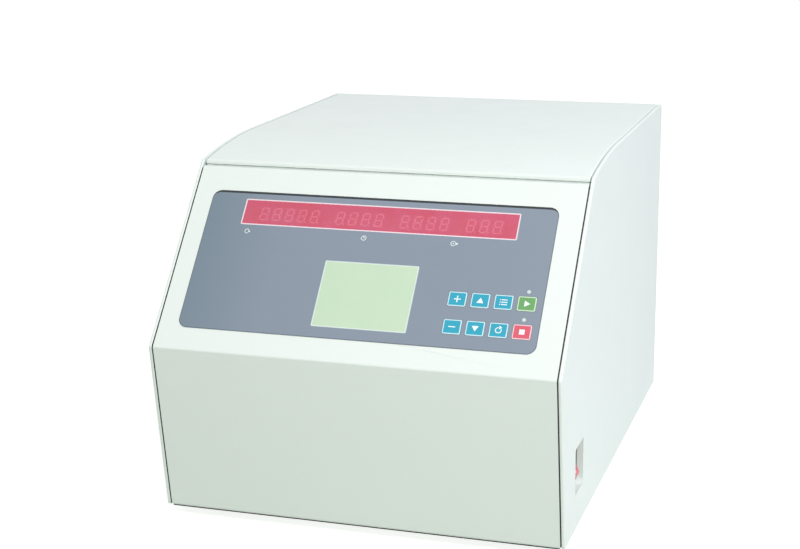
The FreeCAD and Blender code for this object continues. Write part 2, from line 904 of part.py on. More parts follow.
def motor_shaft():
    """Shaft from the lower bearing to the rotor's nut, with a collar below the hub."""
    r = shaft_radius
    foot = bearing_low + end_gap
    collar = hub_low - shaft_collar_length
    top = hub_top + thread_length
    return turned([
        (0, foot), (r, foot), (r, collar), (r + shaft_collar, collar), (r + shaft_collar, hub_low),
        (r, hub_low), (r, hub_top), (thread_radius, hub_top), (thread_radius, top), (0, top),
    ])


def motor_armature():
    """Laminated stack, slotted, with its commutator, on the shaft."""
    low = bearing_low + bearing_length + armature_end_room
    commutator_top = bearing_high - armature_end_room + commutator_length / 2
    top = commutator_top - commutator_length
    r = armature_radius
    stack = turned([
        (shaft_radius, low), (r, low), (r, top), (commutator_radius, top),
        (commutator_radius, commutator_top), (shaft_radius, commutator_top),
    ])
    half = armature_slot_width / 2
    slot = box(r - armature_slot_depth, r + past, rotor_y - half, rotor_y + half, low - past, top + past)
    return stack.cut(around_rotor(slot, armature_slots))


# ---- Swing-out rotor ----

def fork_ears():
    """The two ears of the fork at +X, with full-round ends about the trunnions."""
    r = ear_height / 2
    start = ear_inner - ear_thickness / 3
    outline = [
        (start, pivot_height - r), (pivot_circle + r, pivot_height - r, r - 0.01),
        (pivot_circle + r, pivot_height + r, r - 0.01), (start, pivot_height + r),
    ]
    return [along_y(outline, rotor_y + y0, rotor_y + y0 + ear_thickness) for y0 in (ear_inner, -ear_outer)]


def trunnion_spans():
    """Ends of each trunnion pin at +X: from just clear of the bucket to the ear's outer face."""
    for side in (-1, 1):
        yield (Vector(pivot_circle, rotor_y + side * (bucket_radius + pin_inset), pivot_height),
               Vector(pivot_circle, rotor_y + side * ear_outer, pivot_height))


def rotor_yoke():
    """Cast yoke: a turned hub, four diagonal webs and four forks that meet at the webs."""
    r = ear_height / 2
    low, high = pivot_height - r, pivot_height + r
    hub = turned([
        (shaft_radius, hub_low), (hub_radius - hub_foot_inset, hub_low), (hub_radius, low, hub_fillet),
        (hub_radius, high, hub_fillet), (hub_radius - hub_crown_inset, hub_top), (shaft_radius, hub_top),
    ])
    half = web_thickness / 2
    web_end = ear_outer * math.sqrt(2) - bend / 2
    web = box(hub_radius - half, web_end, rotor_y - half, rotor_y + half, low, high)
    parts = [hub] + around_rotor(web, 4, 45.0)
    for ear in fork_ears():
        parts.extend(around_rotor(ear, 4))
    bores = []
    for start, end in trunnion_spans():
        bores.extend(around_rotor(rod(trunnion_radius, start, end + (end - start).normalize()), 4))
    return fused(parts).cut(bores)


def trunnion_pins():
    pins = []
    for start, end in trunnion_spans():
        pins.extend(around_rotor(rod(trunnion_radius, start, end), 4))
    return group(pins)


def rotor_nut():
    """Scalloped nut that holds the yoke on the shaft."""
    foot = hub_top + nut_flange
    crown = hub_top + nut_height
    c = nut_chamfer
    nut = turned([
        (thread_radius, hub_top), (nut_flange_radius, hub_top), (nut_flange_radius, foot - c),
        (nut_flange_radius - c, foot), (nut_radius, foot + c), (nut_radius, crown - c),
        (nut_radius - c, crown), (0, crown), (0, hub_top + thread_length),
        (thread_radius, hub_top + thread_length),
    ])
    scallop = upright(scallop_radius, nut_radius + scallop_radius / 2, rotor_y, foot + c, crown + past)
    return nut.cut(around_rotor(scallop, nut_scallops))


def bucket():
    """One bucket at +X: a turned cup with two slotted bosses that hook over the trunnions."""
    low = pivot_height - bucket_drop
    top = pivot_height + bucket_rise
    body = turned([
        (0, low), (bucket_radius, low, bucket_base_round), (bucket_radius, top), (bucket_bore, top),
        (bucket_bore, low + bucket_floor, bucket_inner_round), (0, low + bucket_floor),
    ], pivot_circle, rotor_y)
    w = boss_width / 2
    bosses = along_y([
        (pivot_circle - w, pivot_height - boss_below), (pivot_circle + w, pivot_height - boss_below),
        (pivot_circle + w, pivot_height + w, w - 0.01), (pivot_circle - w, pivot_height + w, w - 0.01),
    ], rotor_y - boss_reach, rotor_y + boss_reach)
    core = upright(bucket_radius - bucket_wall / 3, pivot_circle, rotor_y, low - past, top + past)
    whole = body.fuse(bosses.cut(core))
    slot_radius = trunnion_radius + running_gap
    cuts = []
    for side in (-1, 1):
        y0 = rotor_y + side * bucket_radius
        y1 = rotor_y + side * (boss_reach + past)
        cuts.append(rod(slot_radius, Vector(pivot_circle, y0, pivot_height),
                        Vector(pivot_circle, y1, pivot_height)))
        cuts.append(box(pivot_circle - slot_radius, pivot_circle + slot_radius, min(y0, y1), max(y0, y1),
                        pivot_height - boss_below - past, pivot_height))
    return whole.cut(cuts)


# ---- Lid ----

def lid_outline(bottom):
    return [
        (lid_edge_y, bottom, 0.0),
        (lid_edge_y, lid_edge_height, lid_edge_radius),
        (crown_corner_y, overall_height, crown_radius),
        (rear_y, overall_height, corner_radius),
        (rear_y, bottom, 0.0),
    ]


def lid_shell():
    """Pressed lid: upright front edge, crowned front, flat top and a rear skirt that hides the hinges."""
    shell = along_x(lid_outline(skirt_low), -panel_x, panel_x)
    below = box(-panel_x - past, panel_x + past, lid_edge_y - past, rear_y - skirt_depth,
                skirt_low - past, lid_low)
    shell = shell.cut(below)
    ends = edges_in_plane(shell, "x", -panel_x) + edges_in_plane(shell, "x", panel_x)
    shell = shell.makeFillet(lid_side_radius, [edge for edge in ends if edge.BoundBox.ZMax > lid_low + past])
    room = corners_inward(lid_outline(skirt_low - 2 * sheet), sheet)
    return shell.cut(along_x(room, -panel_x + sheet, panel_x - sheet))


def lid_liner():
    """Inner tray of the lid, with a shallow dome over the rotor."""
    z0, z1 = liner_height, liner_height + liner_sheet
    plate = along_z(rectangle(-liner_half, liner_half, liner_front, liner_rear, liner_corner), z0, z1)
    plate = plate.cut(upright(dome_radius - past / 2, 0, rotor_y, z0 - past, z1 + past))
    r, rise = dome_radius, dome_rise
    dome = turned([
        (r, z0), (r, z1), (r - dome_slope, z1 + rise), (0, z1 + rise), (0, z0 + rise),
        (r - dome_slope - past, z0 + rise), (r - past, z0),
    ])
    parts = [plate, dome]
    flange_rear = liner_rear - liner_flange_inset
    for x0 in (-liner_half, liner_half - liner_sheet):
        parts.append(box(x0, x0 + liner_sheet, liner_flange_front, flange_rear, z0, lid_ceiling))
    return fused(parts)


def liner_spacers():
    """Spacers that hold the liner to the lid."""
    posts = []
    for x in (-liner_half + spacer_inset, liner_half - spacer_inset):
        for y in (liner_flange_front + 2 * spacer_radius, liner_rear - spacer_inset):
            posts.append(upright(spacer_radius, x, y, liner_height + liner_sheet, lid_ceiling))
    return group(posts)


def hinge_starts():
    return (-hinge_spacing / 2 - hinge_length / 2, hinge_spacing / 2 - hinge_length / 2)


def hinge_spans(x0):
    """Spans of x of the two outer knuckles and of the middle one."""
    third = hinge_length / 3
    outer = [(x0, x0 + third), (x0 + 2 * third, x0 + hinge_length)]
    middle = [(x0 + third + end_gap, x0 + 2 * third - end_gap)]
    return outer, middle


def hinge_leaf(x0, spans, face_y, far_z, bore):
    """Leaf with knuckles over the given spans of x, joined to a plate that runs to far_z."""
    direction = 1 if far_z > hinge_height else -1
    clear = hinge_height + direction * (knuckle_radius + end_gap)
    z0, z1 = sorted((clear, far_z))
    parts = [box(x0, x0 + hinge_length, face_y, face_y + sheet, z0, z1)]
    z0, z1 = sorted((hinge_height, clear))
    for a, b in spans:
        parts.append(rod(knuckle_radius, Vector(a, hinge_y, hinge_height), Vector(b, hinge_y, hinge_height)))
        parts.append(box(a, b, face_y, face_y + sheet, z0, z1))
    return fused(parts).cut(rod(bore, Vector(x0 - past, hinge_y, hinge_height),
                                Vector(x0 + hinge_length + past, hinge_y, hinge_height)))


def hinge_body_leaves():
    low = hinge_height - hinge_leaf_drop
    bore = hinge_pin_radius + running_gap
    return group(hinge_leaf(x0, hinge_spans(x0)[0], rear_face, low, bore) for x0 in hinge_starts())


def hinge_lid_leaves():
    high = hinge_height + hinge_leaf_rise
    return group(hinge_leaf(x0, hinge_spans(x0)[1], lid_leaf_y, high, hinge_pin_radius)
                 for x0 in hinge_starts())


def hinge_pins():
    pins = []
    for x0 in hinge_starts():
        start = Vector(x0 - hinge_pin_end, hinge_y, hinge_height)
        end = Vector(x0 + hinge_length + hinge_pin_end, hinge_y, hinge_height)
        pins.append(rod(hinge_pin_radius, start, end))
    return group(pins)


# ---- Lid lock ----

def lid_striker():
    """Tongue below the liner, with a window for the bolt."""
    y0, y1 = slot_front + striker_gap, slot_rear - striker_gap
    top = liner_height - sheet
    outline = rectangle(-striker_base_half, striker_base_half, liner_front, slot_rear + bend, slot_corner)
    base = along_z(outline, top, liner_height)
    t = striker_thickness / 2
    tongue = along_x([(y0, striker_bottom, striker_corner), (y1, striker_bottom, striker_corner),
                      (y1, top), (y0, top)], -t, t)
    half = bolt_width / 2 + window_gap
    window = box(-t - past, t + past, slot_middle - half, slot_middle + half,
                 bolt_low - 2 * window_gap, bolt_low + bolt_height + 2 * window_gap)
    return fused([base, tongue]).cut(window)


def bolt_way(x0, x1):
    """Space that the bolt slides in, between two places along X."""
    half = bolt_width / 2 + bolt_gap
    return box(x0, x1, slot_middle - half, slot_middle + half,
               bolt_low - bolt_gap, bolt_low + bolt_height + bolt_gap)


def latch_bracket():
    """Inverted U below the rail that carries the solenoid and guides the bolt."""
    x0, x1 = solenoid_start - bend, solenoid_start + solenoid_length + bend
    foot = bolt_low - solenoid_margin
    chain = [(x0, foot), (x0, deck_low), (x1, deck_low), (x1, foot)]
    frame = along_y(fold_strip(chain, -sheet, bend), rail_front + bend, deck_front - bend)
    return frame.cut(bolt_way(x0 - past, x0 + sheet + past))


def latch_solenoid():
    x0, x1 = solenoid_start, solenoid_start + solenoid_length
    y0, y1 = slot_middle - solenoid_width / 2, slot_middle + solenoid_width / 2
    body = along_x(rectangle(y0, y1, bolt_low - solenoid_margin, deck_low - sheet, striker_thickness), x0, x1)
    return body.cut(bolt_way(x0 - past, bolt_tip + bolt_length + bend))


def latch_bolt():
    w = bolt_width / 2
    x1, top = bolt_tip + bolt_length, bolt_low + bolt_height
    bar = [(bolt_tip + bolt_bevel, bolt_low), (x1, bolt_low), (x1, top), (bolt_tip, top),
           (bolt_tip, bolt_low + bolt_bevel)]
    return along_y(bar, slot_middle - w, slot_middle + w)


# ---- Control panel ----

def membrane_panel():
    outline = rectangle(overlay_u0, overlay_u1, overlay_low, overlay_high, overlay_corner)
    return on_panel(along_z(outline, 0, overlay_thickness).cut(panel_openings(bend)))


def window_pane(window):
    low = overlay_thickness - window_sink - window_thickness
    return on_panel(along_z(rectangle(*window, window_corner), low, low + window_thickness))


def display_board():
    outline = rectangle(board_u0, board_u1, board_v0, board_v1, board_corner)
    return on_panel(along_z(outline, -board_depth - board_thickness, -board_depth))


def board_standoffs():
    """Posts of the display board behind the panel and of the drive board on the base pan."""
    posts = []
    columns = (board_u0 + post_inset_u, overlay_middle - post_middle, overlay_middle + post_middle,
               board_u1 - post_inset_u)
    for u in columns:
        for v in (board_v0 + post_inset_low, board_v1 - post_inset_high):
            posts.append(on_panel(upright(post_radius, u, v, -board_depth, -sheet)))
    for x in (drive_x0 + drive_post_inset, drive_x0 + drive_length - drive_post_inset):
        for y in (drive_y0 + drive_post_inset, drive_y0 + drive_width - drive_post_inset):
            posts.append(upright(post_radius, x, y, pan_top, drive_low))
    return group(posts)


def digit_places():
    """Centres of the digits, group by group, set in the middle of their window."""
    u = (digit_window_u0 + digit_window_u1 - digit_span) / 2
    for count in digit_groups:
        for _ in range(count):
            yield u
            u += digit_pitch
        u += digit_pitch


def digit_modules():
    a, b = digit_width / 2, digit_height / 2
    v = (digit_window_low + digit_window_high) / 2
    return group(on_panel(box(u - a, u + a, v - b, v + b, -board_depth, -board_depth + digit_depth))
                 for u in digit_places())


def lcd_module():
    """Crystal display with its frame, on the board behind its window."""
    u0, u1, v0, v1 = crystal_window
    f = crystal_frame
    frame = box(u0 - f, u1 + f, v0 - f, v1 + f, -board_depth, -2 * sheet + past)
    return on_panel(frame.cut(box(u0, u1, v0, v1, -2 * sheet - past, -sheet)))


def indicator_leds():
    lamps = []
    for u, v in lamp_positions():
        lens = upright(lamp_radius, u, v, -board_depth, overlay_thickness + lamp_proud)
        foot = upright(lamp_radius + lamp_foot_rim, u, v, -board_depth, -board_depth + lamp_foot)
        lamps.append(on_panel(lens.fuse(foot)))
    return group(lamps)


def tact_switches():
    """Short-travel switches on the display board, one behind each key."""
    h = tact_half
    top = -key_stem - key_travel - tact_gap
    switches = []
    for _, u, v in key_positions():
        base = box(u - h, u + h, v - h, v + h, -board_depth, -board_depth + tact_height)
        switches.append(on_panel(base.fuse(upright(tact_radius, u, v, -board_depth + tact_height, top))))
    return group(switches)


def key(u, v):
    """Raised key of the membrane with the stem that reaches its switch."""
    a, b = key_width / 2, key_height / 2
    top = overlay_thickness + key_proud
    cap = along_z(rectangle(u - a, u + a, v - b, v + b, key_corner), -key_back, top)
    cap = cap.makeChamfer(key_chamfer, edges_in_plane(cap, "z", top))
    return on_panel(cap.fuse(upright(key_stem_radius, u, v, -key_stem, -key_back)))


# ---- Power switch ----

def housing_block(x0, x1):
    return box(x0, x1, switch_y - housing_half_y, switch_y + housing_half_y,
               switch_z - housing_half_z, switch_z + housing_half_z)


def switch_well():
    """Tray behind the side's cut-out that holds the switch below the surface."""
    back = half_width - sheet
    tray = along_x(recess_outline(sheet), recess_floor_x - sheet, back)
    tray = tray.fuse(along_x(recess_outline(well_flange), back - sheet, back))
    tray = tray.cut(along_x(recess_outline(0.0), recess_floor_x, back + past))
    return tray.cut(housing_block(recess_floor_x - sheet - past, recess_floor_x + past))


def rocker_housing():
    """Snap-in body with its bezel; the rocker turns in its cavity."""
    back = pivot_x - housing_depth
    body = housing_block(back, recess_floor_x)
    y, z = housing_half_y + bezel_rim, housing_half_z + bezel_rim
    bezel = along_x(rectangle(switch_y - y, switch_y + y, switch_z - z, switch_z + z, bezel_rim),
                    recess_floor_x, bezel_top)
    cavity = box(back + 2 * housing_wall, bezel_top + past,
                 switch_y - cavity_half_y, switch_y + cavity_half_y,
                 switch_z - cavity_half_z, switch_z + cavity_half_z)
    reach = cavity_half_y + rocker_stub_length + rocker_gap
    bore = rod(rocker_stub + stub_gap, Vector(pivot_x, switch_y - reach, switch_z),
               Vector(pivot_x, switch_y + reach, switch_z))
    blades = []
    for dz in (-blade_pitch, 0, blade_pitch):
        blades.append(box(back - blade_length, back, switch_y - blade_width / 2, switch_y + blade_width / 2,
                          switch_z + dz - blade_thickness / 2, switch_z + dz + blade_thickness / 2))
    return body.fuse(bezel).cut([cavity, bore]).fuse(blades)


def rocker_switch():
    """Two-way rocker tilted to its rest side, with its trunnion stubs."""
    h, keel = rocker_half_height, rocker_keel_half
    tip, dip, back = pivot_x + rocker_proud, pivot_x + rocker_proud - rocker_dip, pivot_x - rocker_keel
    section = [
        (back, switch_z - keel), (tip, switch_z - h, window_corner), (dip, switch_z, 4 * rocker_dip),
        (tip, switch_z + h, window_corner), (back, switch_z + keel),
    ]
    solid = along_y(section, switch_y - rocker_half_width, switch_y + rocker_half_width)
    reach = rocker_half_width + rocker_stub_length
    solid = solid.fuse(rod(rocker_stub, Vector(pivot_x, switch_y - reach, switch_z),
                           Vector(pivot_x, switch_y + reach, switch_z)))
    solid.rotate(Vector(pivot_x, switch_y, switch_z), Vector(0, 1, 0), -rocker_rest_angle)
    return solid


# ---- Mains inlet ----

def power_inlet():
    """Snap-in appliance inlet with a fuse drawer above its socket."""
    half = inlet_width / 2
    plate_low = inlet_low - inlet_rim - past
    plate = along_y(rectangle(inlet_x - half, inlet_x + half, plate_low, plate_low + inlet_height + 2 * past,
                              inlet_corner), rear_face, inlet_front)
    s, c = socket_half, socket_bevel
    socket = along_y([
        (inlet_x - s, socket_low, past), (inlet_x + s, socket_low, past),
        (inlet_x + s, socket_high - c, past), (inlet_x + s - c, socket_high, past),
        (inlet_x - s + c, socket_high, past), (inlet_x - s, socket_high - c, past),
    ], inlet_front - socket_depth, inlet_front + past)
    drawer = box(inlet_x - drawer_half, inlet_x + drawer_half, inlet_front - drawer_depth, inlet_front + past,
                 drawer_low, drawer_high)
    return plate.fuse(inlet_body(rear_face - inlet_body_depth, rear_face)).cut([socket, drawer])


def inlet_pins():
    y0 = inlet_front - socket_depth
    middle = (socket_low + socket_high) / 2
    pins = []
    for x, z in ((-pin_spread, -pin_half), (pin_spread, -pin_half), (0, pin_half + pin_tall)):
        pins.append(box(inlet_x + x - pin_half, inlet_x + x + pin_half, y0, y0 + pin_length,
                        middle + z - pin_tall, middle + z + pin_tall))
    return group(pins)


def fuse_drawer():
    """Sliding drawer with a pocket for the fuses and a finger lip."""
    g, w = drawer_gap, drawer_wall
    back = inlet_front - drawer_depth
    body = box(inlet_x - drawer_half + g, inlet_x + drawer_half - g, back + g, inlet_front,
               drawer_low + g, drawer_high - g)
    pocket = box(inlet_x - drawer_half + w, inlet_x + drawer_half - w, back + w, inlet_front - w,
                 drawer_low + w, drawer_high + past)
    lip_half = drawer_half - drawer_lip_inset
    lip = along_y(rectangle(inlet_x - lip_half, inlet_x + lip_half, drawer_low + socket_rise,
                            drawer_high - socket_rise, window_corner), inlet_front, inlet_front + socket_rise)
    return body.cut(pocket).fuse(lip)


# ---- Electronics in the base ----

def drive_board():
    """Motor drive board with its row of capacitors."""
    board = box(drive_x0, drive_x0 + drive_length, drive_y0, drive_y0 + drive_width, drive_low, drive_top)
    cans = []
    for i in range(capacitors):
        x = drive_x0 + capacitor_radius + drive_post_inset + heatsink_edge + i * capacitor_pitch
        cans.append(upright(capacitor_radius, x, drive_y0 + 2 * capacitor_radius, drive_low,
                            drive_low + capacitor_height))
    return board.fuse(cans)


def drive_heatsink():
    """Finned extrusion on the drive board."""
    x0, x1 = drive_x0 + heatsink_inset, drive_x0 + drive_length - heatsink_inset
    y1 = drive_y0 + drive_width - heatsink_edge
    y0 = y1 - heatsink_width
    sink = box(x0, x1, y0, y1, drive_top, drive_top + heatsink_height)
    pitch = (heatsink_width - fin_thickness) / (heatsink_fins - 1)
    gaps = []
    for i in range(heatsink_fins - 1):
        y = y0 + i * pitch
        gaps.append(box(x0 - past, x1 + past, y + fin_thickness, y + pitch, drive_top + heatsink_base,
                        drive_top + heatsink_height + past))
    return sink.cut(gaps)


def case_screws():
    """Round-headed screws up both sides of the rear panel."""
    low, high = underside_height + screw_end_room, deck_low - screw_end_room - screw_radius
    c = screw_chamfer
    heads = []
    for x in (-lip_x + screw_inset, lip_x - screw_inset):
        for i in range(screws_per_side):
            place = Vector(x, rear_face, low + (high - low) * i / (screws_per_side - 1))
            head = Part.makeCylinder(screw_radius, screw_height - c, place, Vector(0, 1, 0))
            crown_foot = place + Vector(0, screw_height - c, 0)
            crown = Part.makeCone(screw_radius, screw_radius - 2 * c, c, crown_foot, Vector(0, 1, 0))
            heads.append(head.fuse(crown))
    return group(heads)


def build():
    pieces = {
        "base_pan": base_pan(),
        "rubber_feet": rubber_feet(),
        "left_cheek": mirrored_x(side_panel()),
        "right_cheek": right_cheek(),
        "front_fascia": front_fascia(),
        "rear_panel": rear_panel(),
        "front_rail": front_rail(),
        "deck_plate": deck_plate(),
        "chamber_bowl": chamber_bowl(),
        "chamber_seal": chamber_seal(),
        "shaft_boot": shaft_boot(),
        "motor_can": motor_can(),
        "motor_bearings": motor_bearings(),
        "motor_bracket": motor_bracket(),
        "motor_dampers": motor_dampers(),
        "motor_shaft": motor_shaft(),
        "motor_armature": motor_armature(),
        "rotor_yoke": rotor_yoke(),
        "trunnion_pins": trunnion_pins(),
        "rotor_nut": rotor_nut(),
        "lid_shell": lid_shell(),
        "lid_liner": lid_liner(),
        "liner_spacers": liner_spacers(),
        "lid_striker": lid_striker(),
        "hinge_body_leaves": hinge_body_leaves(),
        "hinge_lid_leaves": hinge_lid_leaves(),
        "hinge_pins": hinge_pins(),
        "latch_bracket": latch_bracket(),
        "latch_solenoid": latch_solenoid(),
        "latch_bolt": latch_bolt(),
        "membrane_panel": membrane_panel(),
        "digit_window": window_pane(digit_window),
        "crystal_window": window_pane(crystal_window),
        "display_board": display_board(),
        "board_standoffs": board_standoffs(),
        "digit_modules": digit_modules(),
        "lcd_module": lcd_module(),
        "indicator_leds": indicator_leds(),
        "tact_switches": tact_switches(),
        "switch_well": switch_well(),
        "rocker_housing": rocker_housing(),
        "rocker_switch": rocker_switch(),
        "power_inlet": power_inlet(),
        "inlet_pins": inlet_pins(),
        "fuse_drawer": fuse_drawer(),
        "drive_board": drive_board(),
        "drive_heatsink": drive_heatsink(),
        "case_screws": case_screws(),
    }
    for number, shape in enumerate(around_rotor(bucket(), 4), 1):
        pieces[f"bucket_{number}"] = shape
    for name, u, v in key_positions():
        pieces[f"key_{name}"] = key(u, v)
    return pieces


os.makedirs("parts", exist_ok=True)
for node, shape in build().items():
    shape.exportStep(f"parts/{node}.step")
    print(node, len(shape.Solids), "valid" if shape.isValid() else "NOT VALID", round(shape.Volume))
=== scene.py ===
import json
import math

import bmesh
import bpy
from mathutils import Matrix, Vector
from mathutils.bvhtree import BVHTree

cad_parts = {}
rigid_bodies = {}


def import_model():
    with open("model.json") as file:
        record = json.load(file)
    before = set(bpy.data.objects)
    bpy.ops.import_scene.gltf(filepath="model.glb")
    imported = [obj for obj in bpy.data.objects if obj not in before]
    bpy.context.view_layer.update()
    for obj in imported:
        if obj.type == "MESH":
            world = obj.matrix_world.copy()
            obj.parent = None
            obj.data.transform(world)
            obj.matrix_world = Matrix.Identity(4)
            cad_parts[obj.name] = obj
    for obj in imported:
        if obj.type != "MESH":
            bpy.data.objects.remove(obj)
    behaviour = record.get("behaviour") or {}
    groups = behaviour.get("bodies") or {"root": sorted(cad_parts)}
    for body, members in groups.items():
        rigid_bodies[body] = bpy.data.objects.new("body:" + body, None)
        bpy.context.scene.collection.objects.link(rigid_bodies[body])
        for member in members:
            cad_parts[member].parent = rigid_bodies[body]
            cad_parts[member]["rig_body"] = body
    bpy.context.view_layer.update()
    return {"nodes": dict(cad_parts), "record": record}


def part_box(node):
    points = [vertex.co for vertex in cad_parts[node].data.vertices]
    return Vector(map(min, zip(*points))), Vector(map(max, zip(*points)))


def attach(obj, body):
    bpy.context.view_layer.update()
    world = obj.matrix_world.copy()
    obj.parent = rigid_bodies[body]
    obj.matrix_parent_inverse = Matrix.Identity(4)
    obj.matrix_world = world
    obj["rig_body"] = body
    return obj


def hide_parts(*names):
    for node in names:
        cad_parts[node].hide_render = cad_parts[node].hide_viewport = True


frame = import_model()
cad = frame["nodes"]
print("frame loaded:", len(cad), "nodes")


# small helpers for shader and geometry trees

def tint(red, green, blue):
    def linear(value):
        value /= 255
        return value / 12.92 if value <= 0.04045 else ((value + 0.055) / 1.055) ** 2.4
    return (linear(red), linear(green), linear(blue), 1.0)


def feed(tree, socket, value):
    if isinstance(value, bpy.types.NodeSocket):
        tree.links.new(value, socket)
    else:
        socket.default_value = value


def addNode(tree, kind, **values):
    node = tree.nodes.new(kind)
    for label, value in values.items():
        feed(tree, node.inputs[label], value)
    return node


def calc(tree, operation, *values, clamp=False):
    node = tree.nodes.new("ShaderNodeMath")
    node.operation = operation
    node.use_clamp = clamp
    for socket, value in zip(node.inputs, values):
        feed(tree, socket, value)
    return node.outputs[0]


def times(tree, *values, clamp=False):
    return calc(tree, "MULTIPLY", *values, clamp=clamp)


def minus(tree, *values, clamp=False):
    return calc(tree, "SUBTRACT", *values, clamp=clamp)


def vectorCalc(tree, operation, *values):
    node = tree.nodes.new("ShaderNodeVectorMath")
    node.operation = operation
    for socket, value in zip(node.inputs, values):
        feed(tree, socket, value)
    return node.outputs["Value"] if operation in ("LENGTH", "DOT_PRODUCT") else node.outputs[0]


def blendColor(tree, factor, first, second, mode="MIX"):
    node = tree.nodes.new("ShaderNodeMix")
    node.data_type = "RGBA"
    node.blend_type = mode
    feed(tree, node.inputs[0], factor)
    feed(tree, node.inputs[6], first)
    feed(tree, node.inputs[7], second)
    return node.outputs[2]


def remap(tree, value, low, high, toLow=0.0, toHigh=1.0):
    node = tree.nodes.new("ShaderNodeMapRange")
    for socket, number in zip(node.inputs, (value, low, high, toLow, toHigh)):
        feed(tree, socket, number)
    return node.outputs[0]


def cloud(tree, place, scale, detail, roughness=0.5):
    node = addNode(tree, "ShaderNodeTexNoise", Vector=place, Scale=scale, Detail=detail,
                   Roughness=roughness)
    return node.outputs["Fac"]


def dent(tree, height, distance):
    bump = addNode(tree, "ShaderNodeBump", Strength=1.0, Distance=distance, Height=height)
    return bump.outputs["Normal"]


def middleOf(low, high):
    return (low.x + high.x) / 2, (low.y + high.y) / 2


def addSockets(tree, inputs, side="INPUT"):
    # named sockets of a tree; gives each one's identifier
    return {label: tree.interface.new_socket(label, in_out=side, socket_type=kind).identifier
            for label, kind in inputs.items()}


def objectPlace(tree):
    return tree.nodes.new("ShaderNodeTexCoord").outputs["Object"]


def parts(tree, source):
    node = tree.nodes.new("ShaderNodeSeparateXYZ")
    feed(tree, node.inputs[0], source)
    return node.outputs


def aroundOne(tree, noise, span, middle=1.0, clamp=False):
    # noise from 0 to 1 turned into a swing of half the span either side of the middle
    return calc(tree, "MULTIPLY_ADD", minus(tree, noise, 0.5), span, middle, clamp=clamp)


def shadeColor(tree, base, shade):
    tone = tree.nodes.new("ShaderNodeCombineColor")
    for socket in tone.inputs[:3]:
        feed(tree, socket, shade)
    return blendColor(tree, 1.0, base, tone.outputs[0], "MULTIPLY")


def flatLength(tree, x, y):
    squares = [calc(tree, "POWER", value, 2.0) for value in (x, y)]
    return calc(tree, "SQRT", calc(tree, "ADD", *squares))


def newGroup(name, inputs, outputs):
    tree = bpy.data.node_groups.new(name, "ShaderNodeTree")
    addSockets(tree, inputs)
    addSockets(tree, outputs, "OUTPUT")
    return tree, tree.nodes.new("NodeGroupInput").outputs, tree.nodes.new("NodeGroupOutput").inputs


def useGroup(tree, group, **values):
    node = tree.nodes.new("ShaderNodeGroup")
    node.node_tree = group
    for label, value in values.items():
        feed(tree, node.inputs[label], value)
    return node.outputs


color, number, vector = "NodeSocketColor", "NodeSocketFloat", "NodeSocketVector"
skinOutputs = {"Color": color, "Roughness": number, "Normal": vector}


# effects that several finishes share; a noise's number is how many spots it lays per metre

effect = {"slowNoise": 7.0, "glossNoise": 38.0, "dustNoise": 22.0, "wearReach": 0.0008,
          "wearNoise": 160.0, "smearNoise": 26.0, "scratchTurn": (0.4, 0.9, 0.6),
          "scratchStretch": (900.0, 14.0, 900.0), "ringTwist": 1.2, "ringTone": 0.22,
          "ringRough": 0.12, "ringPatch": 30.0, "ringUneven": 0.2, "printBlur": 0.00005}


def makeGrain():
    # fine relief, slow colour drift and uneven gloss of a coated or moulded surface
    tree, given, result = newGroup(
        "fineGrain", {"Color": color, "Size": number, "Depth": number, "Drift": number,
                      "Gloss": number, "Spread": number}, skinOutputs)
    place = objectPlace(tree)
    fine = cloud(tree, place, calc(tree, "DIVIDE", 1.0, given["Size"]), 3.0, 0.6)
    slow = cloud(tree, place, effect["slowNoise"], 3.0)
    patch = cloud(tree, place, effect["glossNoise"], 4.0, 0.65)
    shade = aroundOne(tree, slow, times(tree, given["Drift"], 2.0))
    shade = aroundOne(tree, fine, given["Drift"], shade)
    feed(tree, result["Color"], shadeColor(tree, given["Color"], shade))
    spread = times(tree, given["Spread"], 2.0)
    feed(tree, result["Roughness"], aroundOne(tree, patch, spread, given["Gloss"], clamp=True))
    feed(tree, result["Normal"], dent(tree, fine, given["Depth"]))
    return tree


def makeDust():
    # thin dust that settles on faces looking up
    tree, given, result = newGroup("settledDust", {"Amount": number}, {"Mask": number})
    normal = tree.nodes.new("ShaderNodeNewGeometry").outputs["Normal"]
    up = remap(tree, parts(tree, normal)[2], 0.6, 1.0)
    place = objectPlace(tree)
    patch = remap(tree, cloud(tree, place, effect["dustNoise"], 6.0, 0.7), 0.45, 0.75)
    settled = times(tree, up, patch)
    feed(tree, result["Mask"], times(tree, settled, given["Amount"], clamp=True))
    return tree


def makeWear():
    # mask of worn edges, broken up by noise
    tree, given, result = newGroup("edgeWear", {"Amount": number}, {"Mask": number})
    softened = addNode(tree, "ShaderNodeBevel", Radius=effect["wearReach"])
    softened.samples = 4
    normal = tree.nodes.new("ShaderNodeNewGeometry").outputs["Normal"]
    along = vectorCalc(tree, "DOT_PRODUCT", softened.outputs[0], normal)
    edge = remap(tree, along, 0.995, 0.9)
    breaks = cloud(tree, objectPlace(tree), effect["wearNoise"], 5.0, 0.7)
    broken = remap(tree, breaks, 0.38, 0.62)
    worn = times(tree, edge, broken)
    feed(tree, result["Mask"], times(tree, worn, given["Amount"], clamp=True))
    return tree


